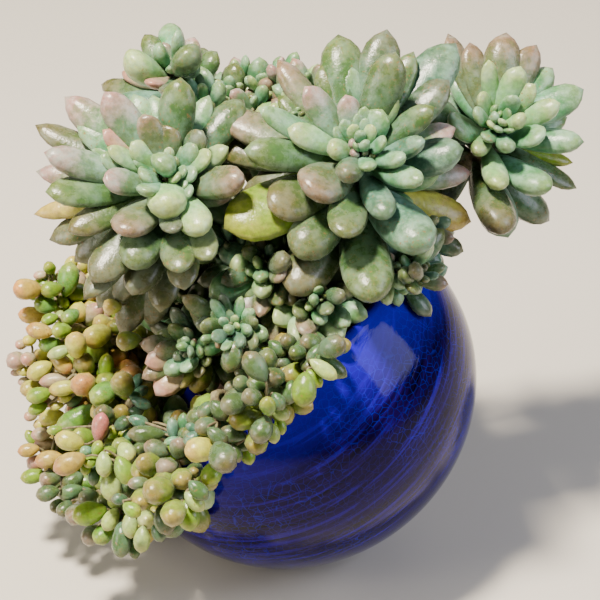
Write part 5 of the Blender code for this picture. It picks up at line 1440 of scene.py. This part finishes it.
def stem_bark(name):
    """Young sedum stem, grey-green turning to brown cork, rough where leaves fell."""
    made, tree = new_finish(name, Roughness=0.8)
    node = partial(add_node, tree)
    coords = node("TexCoord", out="Object")
    noise = node("TexNoise", {"Vector": coords, "Scale": 1 / (2.5 * MM), "Detail": 5.0, "Roughness": 0.65})
    bark = node("ValToRGB", {"Fac": noise})
    stops = bark.node.color_ramp.elements
    stops[0].position, stops[0].color = 0.35, rgba("#4a3a2a")
    stops[1].position, stops[1].color = 0.68, rgba("#8b8660")
    bump = node("Bump", {"Strength": 0.6, "Distance": 0.0004, "Height": noise})
    feed_shader(tree, Base_Color=bark, Normal=bump)
    return made


def cobalt_glaze(name):
    """Glossy cobalt stoneware glaze, poured and fired over a thrown pot.

    The eye gets a deep glassy blue with painted light that brightens it up towards the lip, where the
    glaze also breaks paler, dark and light streaks that run away from where the glaze was poured, a
    fine crackle net that comes and goes, and bare clay on the spot that the pot stands on.
    """
    settings = bpy.context.scene.sedum_pot
    made, tree = new_finish(name, IOR=1.50, Specular_IOR_Level=0.10)
    node = partial(add_node, tree)
    coords = node("TexCoord", out="Object")
    turn = node("Attribute", out="Vector", attribute_name="turn")
    rise = node("SeparateXYZ", {0: node("Attribute", out="Vector", attribute_name="rise")})
    run = {"Vector": turn, "Scale": 1.0, "Detail": 4.0, "Roughness": 0.62, "Distortion": 0.6}
    streaks = node("TexNoise", run)
    clouds = node("TexNoise", {"Vector": coords, "Scale": 1 / (34 * MM), "Detail": 3.0, "Roughness": 0.5})
    body = node("ValToRGB", {"Fac": streaks})
    stops = body.node.color_ramp.elements
    stops[0].position, stops[0].color = 0.30, rgba("#03000e")
    stops[1].position, stops[1].color = 0.74, rgba("#1a0878")
    stops.new(0.52).color = tuple(settings.glaze)
    stops.new(0.64).color = rgba("#1e007a")
    violet = node("MapRange", {"Value": clouds, "From Min": 0.45, "From Max": 0.7, "To Max": 0.35})
    body = node("Mix", {0: violet, 6: body, 7: rgba("#0a002a")}, 2, data_type="RGBA")
    # painted light: brighter blue with height up the pot's upper part, standing in for light on its top, over
    # the glaze's paler break at the lip
    thin_glaze_and_painted_light = node("MapRange", {"Value": rise, "From Min": -0.3, "From Max": 1.1, "To Max": 0.54})
    body = node("Mix", {0: thin_glaze_and_painted_light, 6: body, 7: rgba("#2c00d8")}, 2, data_type="RGBA")
    net = node("TexVoronoi", {"Vector": coords, "Scale": 1 / settings.crackle}, feature="DISTANCE_TO_EDGE")
    line = node("MapRange", {"Value": net, "From Max": 0.045, "To Min": 0.42, "To Max": 0.0})
    fades = {"From Min": 0.35, "From Max": 0.6, "To Min": 1.0, "To Max": 0.25}
    line = node("Math", {0: line, 1: node("MapRange", {"Value": clouds, **fades})}, operation="MULTIPLY")
    body = node("Mix", {0: line, 6: body, 7: rgba("#1a24d0")}, 2, data_type="RGBA")
    up = node("SeparateXYZ", {0: coords}, "Z")
    foot = {"From Min": 0.4 * MM, "From Max": 0.9 * MM, "To Min": 1.0, "To Max": 0.0}
    bare = node("MapRange", {"Value": up, **foot})
    body = node("Mix", {0: bare, 6: body, 7: tuple(settings.clay)}, 2, data_type="RGBA")
    rough = node("MapRange", {"Value": streaks, "To Min": 0.02, "To Max": 0.10})
    bump = node("Bump", {"Strength": 0.25, "Distance": 0.0003, "Height": streaks})
    feed_shader(tree, Base_Color=body, Roughness=rough, Normal=bump)
    return made


def potting_mix(name):
    """Damp potting mix of peat and bark: dark, matte crumbs of several browns."""
    settings = bpy.context.scene.sedum_soil
    made, tree = new_finish(name, Roughness=0.95)
    node = partial(add_node, tree)
    coords = node("TexCoord", out="Object")
    cells = node("TexVoronoi", {"Vector": coords, "Scale": 1 / settings.crumb}, "Color")
    crumbs = node("ValToRGB", {"Fac": cells})
    stops = crumbs.node.color_ramp.elements
    stops[0].color = tuple(settings.dark)
    stops[1].color = tuple(settings.pale)
    noise = node("TexNoise", {"Vector": coords, "Scale": 1 / (1.0 * MM), "Detail": 4.0, "Roughness": 0.7})
    height = node("Math", {0: cells.node.outputs["Distance"], 1: noise}, operation="ADD")
    bump = node("Bump", {"Strength": 0.9, "Distance": 0.0008, "Height": height})
    feed_shader(tree, Base_Color=crumbs, Normal=bump)
    return made


def loose_litter(name):
    """Loose perlite, bark chips and dried leaves: dry and matte, each grain shaded by its own colour."""
    made, tree = new_finish(name, Roughness=0.9)
    node = partial(add_node, tree)
    coords = node("TexCoord", out="Object")
    skin = node("Attribute", out="Vector", attribute_name="skin")
    noise = node("TexNoise", {"Vector": coords, "Scale": 1 / (1.2 * MM), "Detail": 3.0, "Roughness": 0.6})
    light = node("MapRange", {"Value": noise, "From Min": 0.3, "From Max": 0.7, "To Min": 0.6, "To Max": 1.2})
    body = node("VectorMath", {0: skin, 3: light}, operation="SCALE")
    rough = node("MapRange", {"Value": noise, "To Min": 0.75, "To Max": 1.0})
    bump = node("Bump", {"Strength": 0.5, "Distance": 0.0003, "Height": noise})
    feed_shader(tree, Base_Color=body, Roughness=rough, Normal=bump)
    return made


class SEDUM_OT_pot(bpy.types.Operator):
    """Build the glazed pot."""

    bl_idname = "sedum.pot"
    bl_label = "Build pot"

    def execute(self, context):
        """A profile carried round the pot's leaning axis, with its low side laid flat.

        The attribute turn holds the way round the pouring point and the distance from it in
        streaks, and rise holds the height on the axis against the mouth's, which the glaze's painted light
        follows.
        """
        profile = pot_profile()
        inner = profile[1:-1]
        out = round_axis(2 * math.pi * np.arange(POT_SIDES) / POT_SIDES)
        rings = CENTRE + inner[:, 1, None, None] * AXIS + inner[:, 0, None, None] * out
        ends = CENTRE + profile[[0, -1], 1, None] * AXIS
        points = np.vstack([ends[:1], rings.reshape(-1, 3), ends[1:]])
        points[:, 2] = np.maximum(points[:, 2], 0.0)
        away = unit(points - CENTRE)
        pour = unit(AXIS + POUR_TURN)
        run = np.arccos(np.clip(away @ pour, -1, 1)) * POT_RADIUS / context.scene.sedum_pot.streak
        side = unit(np.cross(pour, [0, 0, 1]))
        across = unit(np.column_stack([away @ side, away @ np.cross(pour, side)]))
        rise = np.zeros_like(points)
        rise[:, 0] = (points - CENTRE) @ AXIS / MOUTH_HEIGHT
        marks = {"turn": np.column_stack([across * STREAK_SPREAD, run]), "rise": rise}
        glaze = finish_named("cobalt_stoneware_glaze", cobalt_glaze)
        pot = write_mesh("glazed_pot", points, *closed_grid(len(inner), POT_SIDES), marks, [glaze])
        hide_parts("pot")
        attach(pot, "root")
        return {"FINISHED"}


def soil_level(rng, x, y):
    """How far the soil stands above its level at each place: a sum of small waves of several lengths.

    Each wave is a sine along its own heading, as high as a small share of its length.
    """
    level = np.zeros_like(x)
    for length in SOIL_WAVES:
        heading = rng.uniform(0, 2 * math.pi, WAVES_EACH)
        phase = rng.uniform(0, 2 * math.pi, WAVES_EACH)
        for a, p in zip(heading, phase):
            run = (x * math.cos(a) + y * math.sin(a)) / (length * MM)
            level += length * WAVE_HEIGHT * MM * np.sin(run * 2 * math.pi + p)
    return level


def scatter_litter(rng, ground):
    """Grains of each kind of litter, half sunk in the rings of ground points, with their colours.

    A grain is a ball of twelve points, drawn out along a chance heading in the soil's plane and
    flattened along its axis.
    """
    turn = 2 * math.pi * np.arange(LITTER_SIDES) / LITTER_SIDES
    radius, height = LITTER_RING
    ring = np.stack([radius * np.cos(turn), radius * np.sin(turn)], -1)
    low = np.column_stack([ring, np.full(LITTER_SIDES, -height)])
    high = np.column_stack([ring, np.full(LITTER_SIDES, height)])
    ball = np.vstack([[[0, 0, -1]], low, high, [[0, 0, 1]]])
    chance = np.repeat(np.arange(1.0, len(ground) + 1), ground.shape[1])
    shapes, colours = [], []
    for kind in LITTER:
        spot = ground.reshape(-1, 3)[rng.choice(len(chance), kind.count, False, chance / chance.sum())]
        size = rng.uniform(*kind.size, kind.count) * MM / 2
        heading = rng.uniform(0, 2 * math.pi, kind.count)
        up = unit(AXIS + rng.normal(0, LITTER_LEAN, (kind.count, 3)))
        ahead = unit(np.cross(up, round_axis(heading)))
        side = np.cross(up, ahead)
        axes = np.stack([ahead * kind.long, side, up * kind.flat], 1) * size[:, None, None]
        rough_ball = ball * rng.uniform(*LITTER_CHANCE, (kind.count, len(ball), 1))
        shapes.append(spot[:, None] + rough_ball @ axes)
        shade = linear(kind.colour) * rng.uniform(*LITTER_LIGHT, (kind.count, 1))
        colours.append(np.repeat(shade[:, None], len(ball), 1))
    return np.vstack(shapes), np.vstack(colours)


class SEDUM_OT_soil(bpy.types.Operator):
    """Build the potting mix."""

    bl_idname = "sedum.soil"
    bl_label = "Build soil"

    def execute(self, context):
        """A disc of crumbs over the ball's inside, its top in waves that die out at the wall."""
        rng = np.random.default_rng(context.scene.sedum_plant.seed + 1)
        rim = ball_radius(SOIL_HEIGHT, POT_WALL + SEAT_GAP)
        radius = np.linspace(SOIL_FIRST_RING, 1, SOIL_RINGS) * rim
        turn = 2 * math.pi * np.arange(SOIL_SIDES) / SOIL_SIDES
        x = radius[:, None] * np.cos(turn)
        y = radius[:, None] * np.sin(turn)
        fade = np.clip((rim - radius) / EDGE_FADE, 0, 1)[:, None]
        level = SOIL_HEIGHT + soil_level(rng, x, y) * fade
        base = BASE_RADIUS - POT_WALL - SEAT_GAP
        wall = wall_profile(POT_WALL + SEAT_GAP, SOIL_HEIGHT, base, SOIL_WALL_RINGS)[::-1][1:]
        top = CENTRE + level[..., None] * AXIS + x[..., None] * ACROSS + y[..., None] * ALONG
        side = CENTRE + wall[:, 1, None, None] * AXIS + wall[:, 0, None, None] * round_axis(turn)
        middle = CENTRE + level[0].mean() * AXIS
        bottom = CENTRE + wall[-1, 1] * AXIS
        points = np.vstack([middle[None], top.reshape(-1, 3), side.reshape(-1, 3), bottom[None]])
        quads, triangles = closed_grid(SOIL_RINGS + len(wall), SOIL_SIDES)
        grains, colours = scatter_litter(rng, top[:-LITTER_EDGE])
        copies = (*grains.shape[:2], len(points))
        grain_quads, grain_triangles = (repeat_faces(f, *copies) for f in closed_grid(2, LITTER_SIDES))
        faces = [quads[:, ::-1], grain_quads, triangles[:, ::-1], grain_triangles]
        soil = write_mesh(
            "potting_mix",
            np.vstack([points, grains.reshape(-1, 3)]),
            np.vstack(faces[:2]),
            np.vstack(faces[2:]),
            {"skin": np.vstack([np.zeros_like(points), colours.reshape(-1, 3)])},
            [
                finish_named("peat_and_bark_mix", potting_mix),
                finish_named("loose_perlite_and_bark", loose_litter),
            ],
            np.repeat([0, 1, 0, 1], [len(group) for group in faces]),
        )
        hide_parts("soil")
        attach(soil, "root")
        return {"FINISHED"}


def head_tubes(number, stems, twigs, twig_radius):
    """Points, share along and number of sides of each stem and twig of one head."""
    tubes = []
    for owner, path, shoot in stems:
        if owner == number:
            tubes.append((*stem_shape(path, FORMS[shoot.form], shoot.leafy * MM), STEM_SIDES))
    for owner, path in twigs:
        if owner == number:
            radius = np.linspace(twig_radius, twig_radius * TWIG_END, len(path))
            tubes.append((*tube(path, radius, TWIG_SIDES), TWIG_SIDES))
    return tubes


def build_head(name, plant):
    """One leafy stem: its stem and all its leaves as one piece that replaces its node."""
    stems, twigs, leaves = grow_plant(plant.seed)
    number = list(HEADS).index(name)
    head = HEADS[name]
    form = FORMS[head.form]
    mine = pick(leaves, leaves.owner == number)
    rng = np.random.default_rng(plant.seed + 100 + number)
    leaf_points, leaf_along = leaf_shapes(mine, form)
    skin, tip, place = leaf_attributes(rng, mine, leaf_along)
    copies = leaf_points.shape[:2]
    leaf_quads, leaf_triangles = (repeat_faces(f, *copies) for f in closed_grid(form.rings, form.sides))
    tubes = head_tubes(number, stems, twigs, plant.twig)
    start = leaf_points.size // 3
    tube_quads, tube_triangles = [], []
    for shape, _, sides in tubes:
        quads, triangles = closed_grid((len(shape) - 2) // sides, sides)
        tube_quads.append(quads + start)
        tube_triangles.append(triangles + start)
        start += len(shape)
    faces = [leaf_quads, np.vstack(tube_quads), leaf_triangles, np.vstack(tube_triangles)]
    along = np.concatenate([share for _, share, _ in tubes])
    blank = np.zeros((len(along), 3))
    piece = write_mesh(
        name + "_leaves",
        np.vstack([leaf_points.reshape(-1, 3), *(shape for shape, _, _ in tubes)]),
        np.vstack(faces[:2]),
        np.vstack(faces[2:]),
        {
            "skin": np.vstack([skin.reshape(-1, 3), blank + linear("#7d8a55")]),
            "tip": np.vstack([tip.reshape(-1, 3), blank]),
            "place": np.vstack([place.reshape(-1, 3), np.column_stack([along, blank[:, :2]])]),
        },
        [finish_named("waxy_leaf_with_bloom", leaf_skin), finish_named("corky_sedum_stem", stem_bark)],
        np.repeat([0, 1, 0, 1], [len(group) for group in faces]),
    )
    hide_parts(name)
    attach(piece, "root")


def build_heads(context, form):
    """Every head whose leaves have this form."""
    for name, head in HEADS.items():
        if head.form == form:
            build_head(name, context.scene.sedum_plant)
    return {"FINISHED"}


class SEDUM_OT_rosettes(bpy.types.Operator):
    """Build the large rosettes."""

    bl_idname = "sedum.rosettes"
    bl_label = "Build rosettes"

    def execute(self, context):
        """Every head with broad leaves."""
        return build_heads(context, "broad")


class SEDUM_OT_middle_heads(bpy.types.Operator):
    """Build the middle-sized heads in the mouth of the pot."""

    bl_idname = "sedum.middle_heads"
    bl_label = "Build middle heads"

    def execute(self, context):
        """Every head with middle-sized leaves."""
        return build_heads(context, "middle")


class SEDUM_OT_bead_shoots(bpy.types.Operator):
    """Build the bead-leaved shoots that spill over the rim."""

    bl_idname = "sedum.bead_shoots"
    bl_label = "Build bead shoots"

    def execute(self, context):
        """Every head with bead leaves."""
        return build_heads(context, "bead")


def add_light(light, power):
    """A soft square light, turned to the plant."""
    lamp = bpy.data.lights.new(light.name, "AREA")
    lamp.size = light.size
    lamp.energy = power
    lamp.color = linear(light.colour)
    made = bpy.data.objects.new(light.name, lamp)
    made.location = light.place
    made.rotation_euler = (Vector(LIGHT_TARGET) - made.location).to_track_quat("-Z", "Y").to_euler()
    bpy.context.scene.collection.objects.link(made)


class SEDUM_OT_stage(bpy.types.Operator):
    """Build the floor, the lights and the camera."""

    bl_idname = "sedum.stage"
    bl_label = "Build stage"

    def execute(self, context):
        """A plain pale floor, soft lights, and the camera at the photograph's angle."""
        scene = context.scene
        settings = scene.sedum_stage
        corners = FLOOR_HALF * np.array([(-1, -1, 0), (1, -1, 0), (1, 1, 0), (-1, 1, 0)], float)
        paper, _ = new_finish("matt_paper_floor", Roughness=0.85, Base_Color=tuple(settings.floor))
        floor = write_mesh("floor", corners, np.array([[0, 1, 2, 3]]), np.zeros((0, 3), int), (), [paper])
        for light in LIGHTS:
            add_light(light, light.share * getattr(settings, light.setting))
        room = bpy.data.worlds.new("studio")
        room.use_nodes = True
        background = room.node_tree.nodes["Background"]
        background.inputs["Color"].default_value = rgba(ROOM_COLOUR)
        background.inputs["Strength"].default_value = ROOM_STRENGTH
        scene.world = room
        lens = bpy.data.cameras.new("camera")
        lens.angle = 2 * VIEW_HALF_ANGLE
        lens.clip_start = VIEW_NEAREST
        camera = bpy.data.objects.new("camera", lens)
        camera.location = picture_eye()
        camera.rotation_euler = (math.pi / 2 - VIEW_ELEVATION, 0, 0)
        scene.collection.objects.link(camera)
        scene.camera = camera
        return {"FINISHED"}


OPERATORS = (
    SEDUM_OT_stage,
    SEDUM_OT_pot,
    SEDUM_OT_soil,
    SEDUM_OT_rosettes,
    SEDUM_OT_middle_heads,
    SEDUM_OT_bead_shoots,
)
SETTINGS = {
    "sedum_stage": StageSettings,
    "sedum_pot": PotSettings,
    "sedum_soil": SoilSettings,
    "sedum_plant": PlantSettings,
}


class SEDUM_PT_panel(bpy.types.Panel):
    """The settings and operators of the potted sedum."""

    bl_idname = "SEDUM_PT_panel"
    bl_label = "Potted sedum"
    bl_space_type = "VIEW_3D"
    bl_region_type = "UI"
    bl_category = "Sedum"

    def draw(self, context):
        """List the settings and one button for each operator."""
        for name, kind in SETTINGS.items():
            for key in kind.__annotations__:
                self.layout.prop(getattr(context.scene, name), key)
        for operator in OPERATORS:
            self.layout.operator(operator.bl_idname)


CLASSES = (*SETTINGS.values(), *OPERATORS, SEDUM_PT_panel)


def register():
    """Register the classes and put their settings on the scene."""
    for made in CLASSES:
        bpy.utils.register_class(made)
    for name, kind in SETTINGS.items():
        setattr(bpy.types.Scene, name, PointerProperty(type=kind))


def unregister():
    """Take the settings and classes away again."""
    for name in SETTINGS:
        delattr(bpy.types.Scene, name)
    for made in reversed(CLASSES):
        bpy.utils.unregister_class(made)


def main():
    """Build every piece in order."""
    register()
    bpy.ops.sedum.stage()
    bpy.ops.sedum.pot()
    bpy.ops.sedum.soil()
    bpy.ops.sedum.rosettes()
    bpy.ops.sedum.middle_heads()
    bpy.ops.sedum.bead_shoots()


if __name__ == "__main__":
    main()
